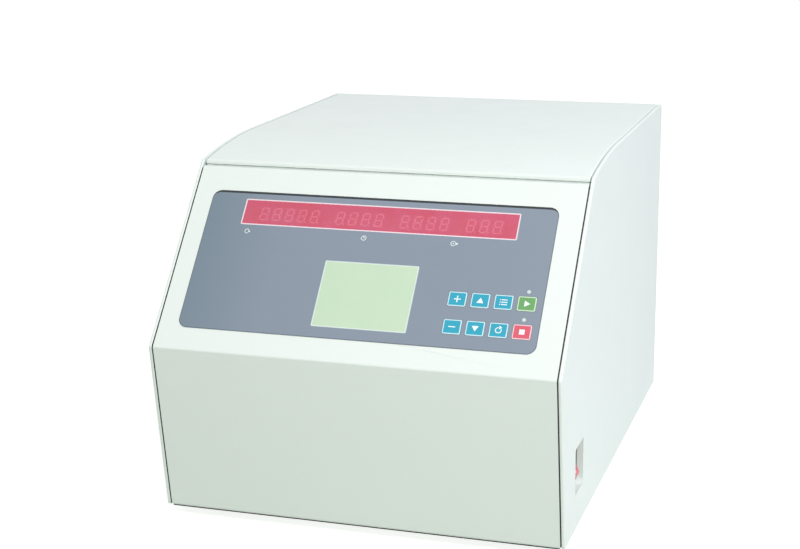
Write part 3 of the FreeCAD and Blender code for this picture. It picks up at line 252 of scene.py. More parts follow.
def makeSmudge():
    # greasy handling marks and hairline scratches
    shares = {"Smear": number, "Scratch": number}
    tree, given, result = newGroup("handlingMarks", shares, shares)
    place = objectPlace(tree)
    smear = remap(tree, cloud(tree, place, effect["smearNoise"], 5.0, 0.6), 0.5, 0.72)
    feed(tree, result["Smear"], times(tree, smear, given["Smear"], clamp=True))
    turn = addNode(tree, "ShaderNodeMapping", Vector=place, Rotation=effect["scratchTurn"],
                   Scale=effect["scratchStretch"])
    lines = remap(tree, cloud(tree, turn.outputs[0], 1.0, 1.0), 0.72, 0.78)
    feed(tree, result["Scratch"], times(tree, lines, given["Scratch"], clamp=True))
    return tree


def makeTurned():
    # fine rings left by turning or spinning about an upright axis
    tree, given, result = newGroup(
        "turnedRings", {"Color": color, "Center": vector, "Pitch": number, "Depth": number,
                        "Gloss": number}, skinOutputs)
    place = vectorCalc(tree, "SUBTRACT", objectPlace(tree), given["Center"])
    x, y, z = parts(tree, place)
    angle = calc(tree, "ARCTAN2", y, x)
    along = calc(tree, "ADD", flatLength(tree, x, y), z)
    spot = addNode(tree, "ShaderNodeCombineXYZ", X=calc(tree, "DIVIDE", along, given["Pitch"]),
                   Y=times(tree, calc(tree, "ABSOLUTE", angle), effect["ringTwist"]))
    rings = cloud(tree, spot.outputs[0], 1.0, 2.0)
    patch = cloud(tree, place, effect["ringPatch"], 4.0, 0.6)
    shade = aroundOne(tree, rings, effect["ringTone"])
    feed(tree, result["Color"], shadeColor(tree, given["Color"], shade))
    uneven = aroundOne(tree, patch, effect["ringUneven"], given["Gloss"])
    rough = aroundOne(tree, rings, effect["ringRough"], uneven, clamp=True)
    feed(tree, result["Roughness"], rough)
    feed(tree, result["Normal"], dent(tree, rings, given["Depth"]))
    return tree


def makeBand():
    # line of a given width along a rectangle's edge, from a map in metres
    tree, given, result = newGroup(
        "printedBand", {"Place": vector, "Middle": vector, "Half": vector, "Round": number,
                        "Width": number}, {"Line": number, "Inside": number})
    offset = vectorCalc(
        tree, "ABSOLUTE", vectorCalc(tree, "SUBTRACT", given["Place"], given["Middle"]))
    corner = addNode(tree, "ShaderNodeCombineXYZ", X=given["Round"], Y=given["Round"])
    inner = vectorCalc(tree, "SUBTRACT", given["Half"], corner.outputs[0])
    x, y, _ = parts(tree, vectorCalc(tree, "SUBTRACT", offset, inner))
    outside = flatLength(tree, calc(tree, "MAXIMUM", x, 0.0), calc(tree, "MAXIMUM", y, 0.0))
    within = calc(tree, "MINIMUM", calc(tree, "MAXIMUM", x, y), 0.0)
    depth = minus(tree, calc(tree, "ADD", outside, within), given["Round"])
    soft = effect["printBlur"]
    inside = remap(tree, depth, -soft, soft, 1.0, 0.0)
    core = remap(tree, calc(tree, "ADD", depth, given["Width"]), -soft, soft)
    feed(tree, result["Inside"], inside)
    feed(tree, result["Line"], times(tree, inside, core))
    return tree


grain, dust, wear = makeGrain(), makeDust(), makeWear()
marks, turned, band = makeSmudge(), makeTurned(), makeBand()
print("shared effects built")


# finishes

def newFinish(name, **plain):
    material = bpy.data.materials.new(name)
    material.use_nodes = True
    tree = material.node_tree
    tree.nodes.clear()
    shader = tree.nodes.new("ShaderNodeBsdfPrincipled")
    output = tree.nodes.new("ShaderNodeOutputMaterial")
    tree.links.new(shader.outputs[0], output.inputs["Surface"])
    for label, value in plain.items():
        shader.inputs[label].default_value = value
    return material, tree, shader.inputs


def coverWith(tree, sockets, skin, **others):
    for label, socket in (("Color", "Base Color"), ("Roughness",) * 2, ("Normal",) * 2):
        feed(tree, sockets[socket], others.get(label, skin[label]))


coatChange = {"dustTone": tint(168, 164, 156), "dustRough": 0.8, "smearGloss": 0.5,
              "scratchRough": 0.3, "scratchTone": 0.35}


def coated(name, base, size, depth, drift, gloss, spread,
           dustAmount=0.0, smear=0.0, scratch=0.0, wearAmount=0.0, bare=None, **plain):
    # any coated, moulded or cast surface: grain, then dust, handling marks and worn edges
    material, tree, sockets = newFinish(name, **plain)
    skin = useGroup(tree, grain, Color=base, Size=size, Depth=depth, Drift=drift,
                    Gloss=gloss, Spread=spread)
    tone, rough = skin["Color"], skin["Roughness"]
    if dustAmount:
        mask = useGroup(tree, dust, Amount=dustAmount)["Mask"]
        tone = blendColor(tree, mask, tone, coatChange["dustTone"])
        rough = blendValue(tree, mask, rough, coatChange["dustRough"])
    if smear or scratch:
        touched = useGroup(tree, marks, Smear=smear, Scratch=scratch)
        greasy = times(tree, touched["Smear"], coatChange["smearGloss"])
        rough = minus(tree, rough, greasy, clamp=True)
        scored = times(tree, touched["Scratch"], coatChange["scratchRough"])
        rough = calc(tree, "ADD", rough, scored, clamp=True)
        bared = times(tree, touched["Scratch"], coatChange["scratchTone"])
        tone = blendColor(tree, bared, tone, bare or tint(235, 235, 235))
    if wearAmount:
        mask = useGroup(tree, wear, Amount=wearAmount)["Mask"]
        tone = blendColor(tree, mask, tone, bare or tint(200, 200, 200))
    coverWith(tree, sockets, skin, Color=tone, Roughness=rough)
    return material


def blendValue(tree, factor, first, second):
    node = tree.nodes.new("ShaderNodeMix")
    node.data_type = "FLOAT"
    feed(tree, node.inputs[0], factor)
    feed(tree, node.inputs[2], first)
    feed(tree, node.inputs[3], second)
    return node.outputs[0]


def spun(name, base, center, pitch, depth, gloss, **plain):
    material, tree, sockets = newFinish(name, Metallic=1.0, **plain)
    skin = useGroup(tree, turned, Color=base, Center=center, Pitch=pitch, Depth=depth, Gloss=gloss)
    coverWith(tree, sockets, skin)
    return material


rotorAxis = (*middleOf(*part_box("rotor_yoke")), 0.0)

finishes = {
    "cabinet_paint": coated("cabinetPaint", tint(229, 235, 233), 0.0011, 0.00003, 0.008, 0.42, 0.05,
        dustAmount=0.05, smear=0.12),
    "deck_paint": coated("deckPaint", tint(196, 203, 203), 0.0010, 0.00004, 0.015, 0.45, 0.06,
        dustAmount=0.12, smear=0.15, scratch=0.3),
    "zinc_sheet": coated("zincSheet", tint(176, 180, 182), 0.0060, 0.00001, 0.06, 0.34, 0.10,
        scratch=0.5, Metallic=0.9),
    "black_rubber": coated("blackRubber", tint(30, 30, 32), 0.0006, 0.00004, 0.10, 0.72, 0.10,
        dustAmount=0.25),
    "grey_rubber": coated("greyRubber", tint(118, 122, 126), 0.0008, 0.00003, 0.05, 0.62, 0.10,
        dustAmount=0.2),
    "motor_paint": coated("motorPaint", tint(52, 62, 70), 0.0012, 0.00005, 0.04, 0.40, 0.10,
        dustAmount=0.3, wearAmount=0.3, bare=tint(120, 120, 120)),
    "bearing_steel": spun("bearingSteel", tint(190, 192, 195), rotorAxis, 0.0004, 0.000004, 0.20),
    "shaft_steel": spun("shaftSteel", tint(180, 182, 184), rotorAxis, 0.0006, 0.000008, 0.26),
    "bowl_steel": spun("bowlSteel", tint(196, 198, 198), rotorAxis, 0.0009, 0.000010, 0.30),
    "cast_alloy": coated("castAlloy", tint(168, 172, 176), 0.0016, 0.00006, 0.05, 0.42, 0.12,
        scratch=0.4, wearAmount=0.6, bare=tint(225, 226, 228), Metallic=0.85),
    "anodised": coated("anodisedAlloy", tint(182, 186, 192), 0.0005, 0.000012, 0.03, 0.34, 0.08,
        scratch=0.5, wearAmount=0.35, bare=tint(228, 228, 230), Metallic=0.9),
    "lamination": coated("lamination", tint(70, 62, 58), 0.0007, 0.00004, 0.12, 0.5, 0.12,
        Metallic=0.5),
    "liner_plastic": coated("linerCoat", tint(214, 218, 216), 0.0014, 0.00004, 0.015, 0.5, 0.08,
        smear=0.1, scratch=0.2),
    "board_green": coated("boardGreen", tint(24, 92, 58), 0.0015, 0.00003, 0.10, 0.32, 0.08,
        dustAmount=0.15),
    "digit_grey": coated("digitGrey", tint(58, 60, 62), 0.0009, 0.00001, 0.04, 0.45, 0.06),
    "lamp_clear": coated("lampClear", tint(208, 214, 214), 0.0012, 0.00001, 0.02, 0.18, 0.04),
    "black_plastic": coated("blackPlastic", tint(28, 28, 30), 0.0005, 0.00002, 0.06, 0.42, 0.08,
        dustAmount=0.1, smear=0.2, wearAmount=0.15, bare=tint(80, 80, 82)),
    "solenoid_coat": coated("solenoidCoat", tint(64, 84, 66), 0.0018, 0.00002, 0.06, 0.38, 0.1,
        Metallic=0.4),
    "contact_brass": coated("contactBrass", tint(200, 176, 112), 0.0010, 0.000008, 0.04, 0.26, 0.08,
        scratch=0.4, Metallic=1.0),
    "heatsink_black": coated("heatsinkBlack", tint(34, 35, 38), 0.0008, 0.00001, 0.06, 0.46, 0.08,
        dustAmount=0.3, wearAmount=0.5, bare=tint(150, 150, 152), Metallic=0.6),
    "screw_zinc": coated("screwZinc", tint(188, 190, 190), 0.0010, 0.000008, 0.04, 0.28, 0.08,
        scratch=0.5, wearAmount=0.4, bare=tint(220, 220, 220), Metallic=1.0),
    "rocker_red": coated("rockerRed", tint(206, 62, 82), 0.0006, 0.00001, 0.02, 0.26, 0.05,
        smear=0.2),
}


# the slope's own frame: u across from the film's left edge, v up from its lower edge, w outward

slope = {"run": 0.143, "rise": 0.162, "filmThickness": 0.0005}
slopeAngle = math.atan2(slope["rise"], slope["run"])
acrossDirection = Vector((1, 0, 0))
upDirection = Vector((0, math.cos(slopeAngle), math.sin(slopeAngle)))
outDirection = Vector((0, -math.sin(slopeAngle), math.cos(slopeAngle)))
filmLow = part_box("membrane_panel")[0]
slopeStart = Vector((filmLow.x, filmLow.y + slope["filmThickness"] * math.sin(slopeAngle),
                     filmLow.z))


def onSlope(u, v, w):
    return slopeStart + acrossDirection * u + upDirection * v + outDirection * w


def toSlope(point):
    offset = point - slopeStart
    return Vector((offset.dot(acrossDirection), offset.dot(upDirection), offset.dot(outDirection)))


def slopeBox(node):
    spots = [toSlope(vertex.co) for vertex in cad[node].data.vertices]
    return (Vector(min(spot[i] for spot in spots) for i in range(3)),
            Vector(max(spot[i] for spot in spots) for i in range(3)))


filmSize = slopeBox("membrane_panel")[1]
digitLow, digitHigh = slopeBox("digit_window")
crystalLow, crystalHigh = slopeBox("crystal_window")


# printed and clear pieces of the panel

# film colours; the rim colour serves both the printed dark border and the painted shadow along the
# top edge
filmPrint = {"tone": tint(131, 141, 157), "shade": tint(114, 130, 144), "shadeReach": 0.09,
             "digitInk": tint(236, 222, 230), "digitLine": 0.0009,
             "crystalInk": tint(198, 212, 220), "crystalLine": 0.0007,
             "rim": tint(30, 34, 38), "rimLine": 0.0007, "rimRound": 0.010, "topLine": 0.0026,
             "rimShare": 0.55, "topShare": 0.97, "windowRound": 0.0015, "gloss": 0.46}
paneLook = {"coat": 0.3, "coatRough": 0.12, "stainScale": 30.0, "corner": 0.001, "line": 0.0005}


def slopeMap(tree):
    node = tree.nodes.new("ShaderNodeUVMap")
    node.uv_map = "slopeMap"
    return node.outputs[0]


def rectangleOf(low, high, grow=0.0):
    half = ((high.x - low.x) / 2 + grow, (high.y - low.y) / 2 + grow, 0.0)
    return (*middleOf(low, high), 0.0), half


def lineRound(tree, place, low, high, corner, line, grow=0.0):
    middle, half = rectangleOf(low, high, grow)
    return useGroup(tree, band, Place=place, Middle=middle, Half=half, Round=corner,
                    Width=line)["Line"]


def makeFilm():
    material, tree, sockets = newFinish("slateFilm")
    place = slopeMap(tree)
    drift = remap(tree, parts(tree, place)[0], 0.0, filmPrint["shadeReach"], 1.0, 0.0)
    base = blendColor(tree, drift, filmPrint["tone"], filmPrint["shade"])
    skin = useGroup(tree, grain, Color=base, Size=0.0004, Depth=0.000012, Drift=0.02,
                    Gloss=filmPrint["gloss"], Spread=0.05)
    tone = skin["Color"]
    for low, high, name in ((digitLow, digitHigh, "digit"), (crystalLow, crystalHigh, "crystal")):
        line = filmPrint[name + "Line"]
        edge = lineRound(tree, place, low, high, filmPrint["windowRound"], line, line)
        tone = blendColor(tree, edge, tone, filmPrint[name + "Ink"])
    start = Vector((0, 0, 0))
    edge = lineRound(tree, place, start, filmSize, filmPrint["rimRound"], filmPrint["rimLine"])
    tone = blendColor(tree, times(tree, edge, filmPrint["rimShare"]), tone, filmPrint["rim"])
    # painted shadow: a near-black band along the film's top edge, standing in for the shade of the
    # fascia's cut-out edge above it
    middle, half = rectangleOf(start, filmSize)
    lowered = (middle[0], middle[1] - filmPrint["topLine"], 0.0)
    below = useGroup(tree, band, Place=place, Middle=lowered, Half=(half[0] + 0.001, half[1], 0.0),
                     Round=filmPrint["rimRound"], Width=0.001)
    above = minus(tree, 1.0, below["Inside"], clamp=True)
    tone = blendColor(tree, times(tree, above, filmPrint["topShare"]), tone, filmPrint["rim"])
    touched = useGroup(tree, marks, Smear=0.15, Scratch=0.15)
    greasy = times(tree, touched["Smear"], 0.4)
    rough = minus(tree, skin["Roughness"], greasy, clamp=True)
    coverWith(tree, sockets, skin, Color=tone, Roughness=rough)
    return material


def makePane(name, base, shade, clear, gloss, rim, corners):
    # tinted window: a slow stain, a pale printed rim and the share that hides the display
    material, tree, sockets = newFinish(name)
    sockets["Coat Weight"].default_value = paneLook["coat"]
    sockets["Coat Roughness"].default_value = paneLook["coatRough"]
    place = slopeMap(tree)
    stain = remap(tree, cloud(tree, place, paneLook["stainScale"], 2.0), 0.35, 0.7)
    tone = blendColor(tree, stain, base, shade)
    edge = lineRound(tree, place, *corners, paneLook["corner"], paneLook["line"])
    tone = blendColor(tree, edge, tone, rim)
    skin = useGroup(tree, grain, Color=tone, Size=0.0006, Depth=0.000004, Drift=0.015,
                    Gloss=gloss, Spread=0.05)
    coverWith(tree, sockets, skin)
    behind = tree.nodes.new("ShaderNodeNewGeometry").outputs["Backfacing"]
    facing = minus(tree, 1.0, behind)
    solid = blendValue(tree, edge, clear, 1.0)
    feed(tree, sockets["Alpha"], times(tree, facing, solid))
    return material


keyPrint = {"half": (0.0092, 0.0079, 0.0), "corner": 0.0015, "line": 0.0011, "gloss": 0.36}


def makeKeyFinish(name, field, border):
    material, tree, sockets = newFinish(name)
    place = slopeMap(tree)
    edge = useGroup(tree, band, Place=place, Middle=(0.0, 0.0, 0.0), Half=keyPrint["half"],
                    Round=keyPrint["corner"], Width=keyPrint["line"])
    tone = blendColor(tree, edge["Line"], field, border)
    skin = useGroup(tree, grain, Color=tone, Size=0.0004, Depth=0.00001, Drift=0.02,
                    Gloss=keyPrint["gloss"], Spread=0.05)
    coverWith(tree, sockets, skin)
    return material


finishes["slate_film"] = makeFilm()
finishes["red_pane"] = makePane("redPane", tint(238, 106, 140), tint(238, 96, 124), 0.68, 0.24,
                                tint(236, 190, 205), (digitLow, digitHigh))
finishes["crystal_pane"] = makePane("crystalPane", tint(216, 240, 212), tint(220, 242, 214),
                                    0.78, 0.22, tint(232, 240, 230), (crystalLow, crystalHigh))
finishes["key_blue"] = makeKeyFinish("keyBlue", tint(46, 160, 188), tint(206, 232, 242))
finishes["key_green"] = makeKeyFinish("keyGreen", tint(106, 160, 100), tint(206, 230, 202))
finishes["key_red"] = makeKeyFinish("keyRed", tint(214, 90, 110), tint(240, 206, 214))
inkWhite = coated("inkWhite", tint(240, 244, 248), 0.0008, 0.000004, 0.01, 0.4, 0.04)
segmentPale = coated("segmentPale", tint(236, 214, 216), 0.0008, 0.000004, 0.02, 0.4, 0.05)
print("finishes built:", len(finishes))


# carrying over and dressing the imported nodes

def addObject(name, data):
    piece = bpy.data.objects.new(name, data)
    bpy.context.scene.collection.objects.link(piece)
    return piece


def rayTree(node):
    mesh = cad[node].data
    faces = [tuple(face.vertices) for face in mesh.polygons]
    return BVHTree.FromPolygons([vertex.co.copy() for vertex in mesh.vertices], faces)


slotOf = {part["node"]: part["material_slot"] for part in frame["record"]["subparts"]}


def finishMesh(mesh, angle):
    mesh.shade_smooth()
    mesh.set_sharp_from_angle(angle=math.radians(angle))


def withModifiers(piece):
    # the modifiers' result as a plain mesh
    bpy.context.view_layer.update()
    graph = bpy.context.evaluated_depsgraph_get()
    mesh = bpy.data.meshes.new_from_object(
        piece.evaluated_get(graph), preserve_all_data_layers=True, depsgraph=graph)
    old = piece.data
    piece.modifiers.clear()
    piece.data = mesh
    mesh.name = piece.name
    bpy.data.meshes.remove(old)


def addSlopeMap(mesh, origin):
    layer = mesh.uv_layers.new(name="slopeMap")
    for loop in mesh.loops:
        spot = toSlope(mesh.vertices[loop.vertex_index].co) - origin
        layer.data[loop.index].uv = (spot.x, spot.y)


# flat faces with many holes stay as they were cut
keptTriangles = {"rear_panel"}
dressing = {"mergeReach": 2e-6, "flatAngle": 0.15, "sharpAngle": 32.0, "bevelAngle": 40.0,
            "smallEdge": 0.00025}


def dressNode(node, edge, mapped=None):
    # a copy of the node with its doubles merged, its flat faces whole and its edges broken
    body = cad[node]["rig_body"]
    name = node.replace("_", "")
    mesh = cad[node].data.copy()
    mesh.materials.clear()
    work = bmesh.new()
    work.from_mesh(mesh)
    bmesh.ops.remove_doubles(work, verts=work.verts, dist=dressing["mergeReach"])
    if node not in keptTriangles:
        bmesh.ops.dissolve_limit(work, angle_limit=math.radians(dressing["flatAngle"]),
                                 verts=work.verts, edges=work.edges)
    work.to_mesh(mesh)
    work.free()
    mesh.materials.append(finishes[slotOf[node]])
    finishMesh(mesh, dressing["sharpAngle"])
    piece = addObject(name + "Dressed", mesh)
    if edge:
        soften = piece.modifiers.new("edges", "BEVEL")
        soften.width = edge
        soften.segments = 2
        soften.limit_method = "ANGLE"
        soften.angle_limit = math.radians(dressing["bevelAngle"])
        soften.use_clamp_overlap = False
        soften.harden_normals = False
    even = piece.modifiers.new("even", "WEIGHTED_NORMAL")
    even.keep_sharp = True
    withModifiers(piece)
    if mapped is not None:
        addSlopeMap(piece.data, mapped)
    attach(piece, body)
    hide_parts(node)


sheetEdge = {"front_fascia": 0.0004, "left_cheek": 0.0005, "right_cheek": 0.0005,
             "lid_shell": 0.0004, "rear_panel": 0.0003, "base_pan": 0.0003,
             "front_rail": 0.0003, "deck_plate": 0.0004}
plainNodes = {"motor_armature", "tact_switches", "inlet_pins", "display_board", "drive_board",
              "trunnion_pins"}
onPanel = {"membrane_panel", "digit_window", "crystal_window"}
replacedElsewhere = {"case_screws", "rubber_feet"}

for node in cad:
    if node in replacedElsewhere:
        continue
    if node in onPanel:
        dressNode(node, edge=0.0, mapped=Vector((0, 0, 0)))
    elif node.startswith("key_"):
        dressNode(node, edge=0.0, mapped=Vector((*middleOf(*slopeBox(node)), 0)))
    else:
        usual = 0.0 if node in plainNodes else dressing["smallEdge"]
        dressNode(node, edge=sheetEdge.get(node, usual))
print("nodes dressed")


# symbols on the keys

keySymbol = {"lift": 0.00006, "stroke": 0.0011, "reach": 0.0036, "listStep": 0.0026}


def joinRings(work, first, second):
    # faces between two rings of points, either of which may be a single point
    steps = max(len(first), len(second))
    for i in range(steps):
        j = (i + 1) % steps
        if len(first) == 1:
            work.faces.new((first[0], second[j], second[i]))
        elif len(second) == 1:
            work.faces.new((first[i], first[j], second[0]))
        else:
            work.faces.new((first[i], first[j], second[j], second[i]))


def prism(work, outline, low, high, place=lambda x, y, z: (x, y, z)):
    bottom = [work.verts.new(place(x, y, low)) for x, y in outline]
    top = [work.verts.new(place(x, y, high)) for x, y in outline]
    work.faces.new(top)
    work.faces.new(bottom[::-1])
    joinRings(work, bottom, top)


def meshFrom(name, work):
    bmesh.ops.recalc_face_normals(work, faces=work.faces)
    mesh = bpy.data.meshes.new(name)
    work.to_mesh(mesh)
    work.free()
    return mesh


def inkPiece(name, body, outlines, faceHeight, place=onSlope, ink=None):
    # flat printed shapes, each an outline in the slope's frame or another, a little thick
    work = bmesh.new()
    for outline in outlines:
        prism(work, outline, faceHeight, faceHeight + keySymbol["lift"], place)
    mesh = meshFrom(name, work)
    mesh.materials.append(ink or inkWhite)
    piece = addObject(name, mesh)
    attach(piece, body)


def block(u, v, halfU, halfV):
    return [(u - halfU, v - halfV), (u + halfU, v - halfV), (u + halfU, v + halfV),
            (u - halfU, v + halfV)]


def arcBand(u, v, radius, stroke, start, end, steps=18):
    angles = [math.radians(start + (end - start) * i / steps) for i in range(steps + 1)]
    outer, inner = ([(u + math.cos(a) * r, v + math.sin(a) * r) for a in angles]
                    for r in (radius + stroke / 2, radius - stroke / 2))
    return outer + inner[::-1]


def symbolOutlines(kind, u, v):
    half, r = keySymbol["stroke"] / 2, keySymbol["reach"]
    if kind == "plus":
        arm, rest = (r + half) / 2, (r - half) / 2
        return [block(u, v, r, half), block(u, v + arm, half, rest), block(u, v - arm, half, rest)]
    if kind == "minus":
        return [block(u, v, r, half)]
    if kind == "up":
        return [[(u - r, v - r * 0.75), (u + r, v - r * 0.75), (u, v + r * 0.85)]]
    if kind == "down":
        return [[(u - r, v + r * 0.75), (u, v - r * 0.85), (u + r, v + r * 0.75)]]
    if kind == "preset":
        drops = (-keySymbol["listStep"], 0.0, keySymbol["listStep"])
        lines = [block(u + r * 0.25, v + drop, r * 0.85, half * 0.9) for drop in drops]
        return lines + [block(u - r * 0.95, v + drop, half * 0.9, half * 0.9) for drop in drops]
    if kind == "recall":
        head = [(u + r * 0.15, v + r * 1.35), (u + r * 0.15, v + r * 0.25), (u + r, v + r * 0.8)]
        return [arcBand(u, v, r * 0.8, half * 1.7, 95, 385), head]
    if kind == "start":
        return [[(u - r * 0.65, v - r * 0.9), (u + r * 0.95, v), (u - r * 0.65, v + r * 0.9)]]
    return [block(u, v, r * 0.75, r * 0.75)]


for node in sorted(cad):
    if node.startswith("key_"):
        kind = node[4:]
        low, high = slopeBox(node)
        outlines = symbolOutlines(kind, *middleOf(low, high))
        inkPiece(kind + "Symbol", node, outlines, high.z)
print("key symbols laid")


# small icons under the digit window: turning, time, force

panelIcon = {"reach": 0.0028, "stroke": 0.0006, "drop": 0.0088,
             "turningAt": 0.0085, "timeAt": 0.1370, "forceAt": 0.2320}


def iconOutlines(kind, u, v):
    r, t = panelIcon["reach"], panelIcon["stroke"]
    if kind == "turning":
        tip = u + r * 0.85
        head = [(tip - r * 0.5, v), (tip + r * 0.5, v), (tip, v - r * 0.62)]
        return [arcBand(u, v, r * 0.85, t, 2, 300), head]
    ring = [arcBand(u, v, r * 0.9, t, 91, 449, 36)]
    if kind == "time":
        return ring + [block(u, v + r * 0.3, t / 2, r * 0.3),
                       block(u + t / 2 + r * 0.16, v, r * 0.16, t / 2)]
    head = [(u + r * 1.15, v - r * 0.5), (u + r * 1.9, v), (u + r * 1.15, v + r * 0.5)]
    return ring + [head, block(u, v, t, t)]


for kind in ("turning", "time", "force"):
    spot = (digitLow.x + panelIcon[kind + "At"], digitLow.y - panelIcon["drop"])
    inkPiece(kind + "Icon", "housing", iconOutlines(kind, *spot), filmSize.z)


# the two marks of the rocker, laid on its faces where a line from outside meets them

rockerMark = {"stroke": 0.0007, "reach": 0.0022, "spread": 0.0062}
inkLift = 0.00002  # ink above the face that a ray has found


def markRocker():
    low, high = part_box("rocker_switch")
    tree = rayTree("rocker_switch")
    r, t = rockerMark["reach"], rockerMark["stroke"]
    ring = [arcBand(0, 0, r * 0.85, t, 91, 449, 36)]
    line = [block(0, 0, t / 2, r)]
    for name, sign, outlines in (("rockerLine", 1, line), ("rockerRing", -1, ring)):
        height = (low.z + high.z) / 2 + sign * rockerMark["spread"]
        start = Vector((high.x + 0.05, (low.y + high.y) / 2, height))
        hit, normal = tree.ray_cast(start, Vector((-1, 0, 0)))[:2]
        up = (Vector((0, 0, 1)) - normal * normal.z).normalized()
        across = up.cross(normal).normalized()
        inkPiece(name, "rocker", outlines, inkLift,
                 place=lambda u, v, w: hit + across * u + up * v + normal * w)


markRocker()


# numbers 1 to 4 on the hub of the yoke, each facing its bucket

hubNumber = {"radius": 0.0300, "width": 0.0042, "height": 0.0076, "stroke": 0.0011,
             "gap": 0.00012, "ink": tint(38, 40, 44),
             "strokes": {1: "cf", 2: "acdeg", 3: "acdfg", 4: "bcdf"}}


def strokeOutlines(letters):
    # a top, b and c upper left and right, d middle, e and f lower left and right, g bottom
    w, h, t = (hubNumber[key] / 2 for key in ("width", "height", "stroke"))
    g = hubNumber["gap"]
    flat = w - 2 * t - g
    spots = {"a": (0, h - t, flat, t), "d": (0, 0, flat, t), "g": (0, t - h, flat, t)}
    for letter, x, y in (("b", -1, 1), ("c", 1, 1), ("e", -1, -1), ("f", 1, -1)):
        spots[letter] = (x * (w - t), y * (h / 2), t, h / 2 - t - g)
    return [block(*spots[letter]) for letter in letters]


def numberHub():
    ink = coated("hubInk", hubNumber["ink"], 0.0008, 0.000004, 0.02, 0.45, 0.05)
    tree = rayTree("rotor_yoke")
    axis = Vector(rotorAxis)
    for i in range(1, 5):
        away = Vector((*middleOf(*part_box("bucket_" + str(i))), 0)) - axis
        away.normalize()
        across = Vector((away.y, -away.x, 0))
        start = axis + away * hubNumber["radius"] + Vector((0, 0, 1))
        hit, normal = tree.ray_cast(start, Vector((0, 0, -1)))[:2]
        inkPiece("hubNumber" + str(i), "rotor", strokeOutlines(hubNumber["strokes"][i]),
                 inkLift,
                 place=lambda u, v, w: hit + across * u + away * v + normal * w, ink=ink)


numberHub()
print("icons, rocker marks and hub numbers laid")


# geometry node trees, each ending in plain geometry with its finish

def newShapeTree(name, inputs):
    tree = bpy.data.node_groups.new(name, "GeometryNodeTree")
    sockets = addSockets(tree, inputs)
    addSockets(tree, {"Geometry": "NodeSocketGeometry"}, "OUTPUT")
    return tree, sockets, tree.nodes.new("NodeGroupInput").outputs


def endShapeTree(tree, shape, finish):
    result = tree.nodes.new("NodeGroupOutput").inputs
    real = addNode(tree, "GeometryNodeRealizeInstances", Geometry=shape)
    paint = addNode(tree, "GeometryNodeSetMaterial", Geometry=real.outputs[0], Material=finish)
    tree.links.new(paint.outputs[0], result[0])


# copies of one stamp on a grid

def makeCopiesTree():
    tree, sockets, given = newShapeTree("copiesOnGrid", {
        "Stamp": "NodeSocketObject", "Finish": "NodeSocketMaterial", "Columns": "NodeSocketInt",
        "Rows": "NodeSocketInt", "Start": vector, "Column Step": vector, "Row Step": vector,
        "Turn": vector, "Wander": number, "Seed": "NodeSocketInt"})
    index = tree.nodes.new("GeometryNodeInputIndex").outputs[0]
    column = calc(tree, "MODULO", index, given["Columns"])
    row = calc(tree, "FLOOR", calc(tree, "DIVIDE", index, given["Columns"]))

    def scaled(label, amount):
        node = tree.nodes.new("ShaderNodeVectorMath")
        node.operation = "SCALE"
        feed(tree, node.inputs[0], given[label])
        feed(tree, node.inputs["Scale"], amount)
        return node.outputs[0]

    step = vectorCalc(tree, "ADD", scaled("Column Step", column), scaled("Row Step", row))
    place = vectorCalc(tree, "ADD", given["Start"], step)
    count = times(tree, given["Columns"], given["Rows"])
    points = addNode(tree, "GeometryNodePoints", Count=count, Position=place)
    stamp = addNode(tree, "GeometryNodeObjectInfo", Object=given["Stamp"])
    # each copy is turned a little about its own axis
    wander = addNode(tree, "FunctionNodeRandomValue", Seed=given["Seed"])
    feed(tree, wander.inputs[2], times(tree, given["Wander"], -1.0))
    feed(tree, wander.inputs[3], given["Wander"])
    spin = addNode(tree, "ShaderNodeCombineXYZ", Z=wander.outputs[1])
    instances = addNode(tree, "GeometryNodeInstanceOnPoints", Points=points.outputs[0],
                        Instance=stamp.outputs["Geometry"], Rotation=given["Turn"])
    turn = addNode(tree, "GeometryNodeRotateInstances", Instances=instances.outputs[0],
                   Rotation=spin.outputs[0])
    endShapeTree(tree, turn.outputs[0], given["Finish"])
    return tree, sockets


copiesTree, copiesSockets = makeCopiesTree()


def spreadCopies(name, stamp, finish, angle=32.0, **values):
    # runs the tree on an empty mesh and keeps its result as a plain mesh
    piece = addObject(name, bpy.data.meshes.new(name))
    modifier = piece.modifiers.new("copies", "NODES")
    modifier.node_group = copiesTree
    modifier[copiesSockets["Stamp"]] = stamp
    modifier[copiesSockets["Finish"]] = finish
    for label, value in values.items():
        spaced = {"columnStep": "Column Step", "rowStep": "Row Step"}.get(label, label.capitalize())
        modifier[copiesSockets[spaced]] = value
    withModifiers(piece)
    finishMesh(piece.data, angle)
    return piece


def stampFrom(name, work):
    # not linked to the scene: it only feeds the tree
    bmesh.ops.remove_doubles(work, verts=work.verts, dist=1e-7)
    return bpy.data.objects.new(name, meshFrom(name, work))


def ringOf(work, radius, height, steps, shift=0.0):
    angles = (2 * math.pi * (i + shift) / steps for i in range(steps))
    return [work.verts.new((radius * math.cos(a), radius * math.sin(a), height)) for a in angles]


def lathe(work, profile, steps):
    # closed surface of revolution about z from (radius, height) points, on the axis at both ends
    rings = []
    for radius, height in profile:
        if radius:
            rings.append(ringOf(work, radius, height, steps))
        else:
            rings.append([work.verts.new((0, 0, height))])
    for first, second in zip(rings, rings[1:]):
        joinRings(work, first, second)


# seven-segment faces in front of the digit modules

digitFace = {"groups": (5, 4, 4, 3), "pitch": 0.014, "width": 0.0086, "height": 0.0152,
             "stroke": 0.0013, "gap": 0.0003, "slant": 0.10, "lift": 0.00015,
             "dotRadius": 0.0007, "dotAcross": 0.0012, "dotUp": 0.0008}


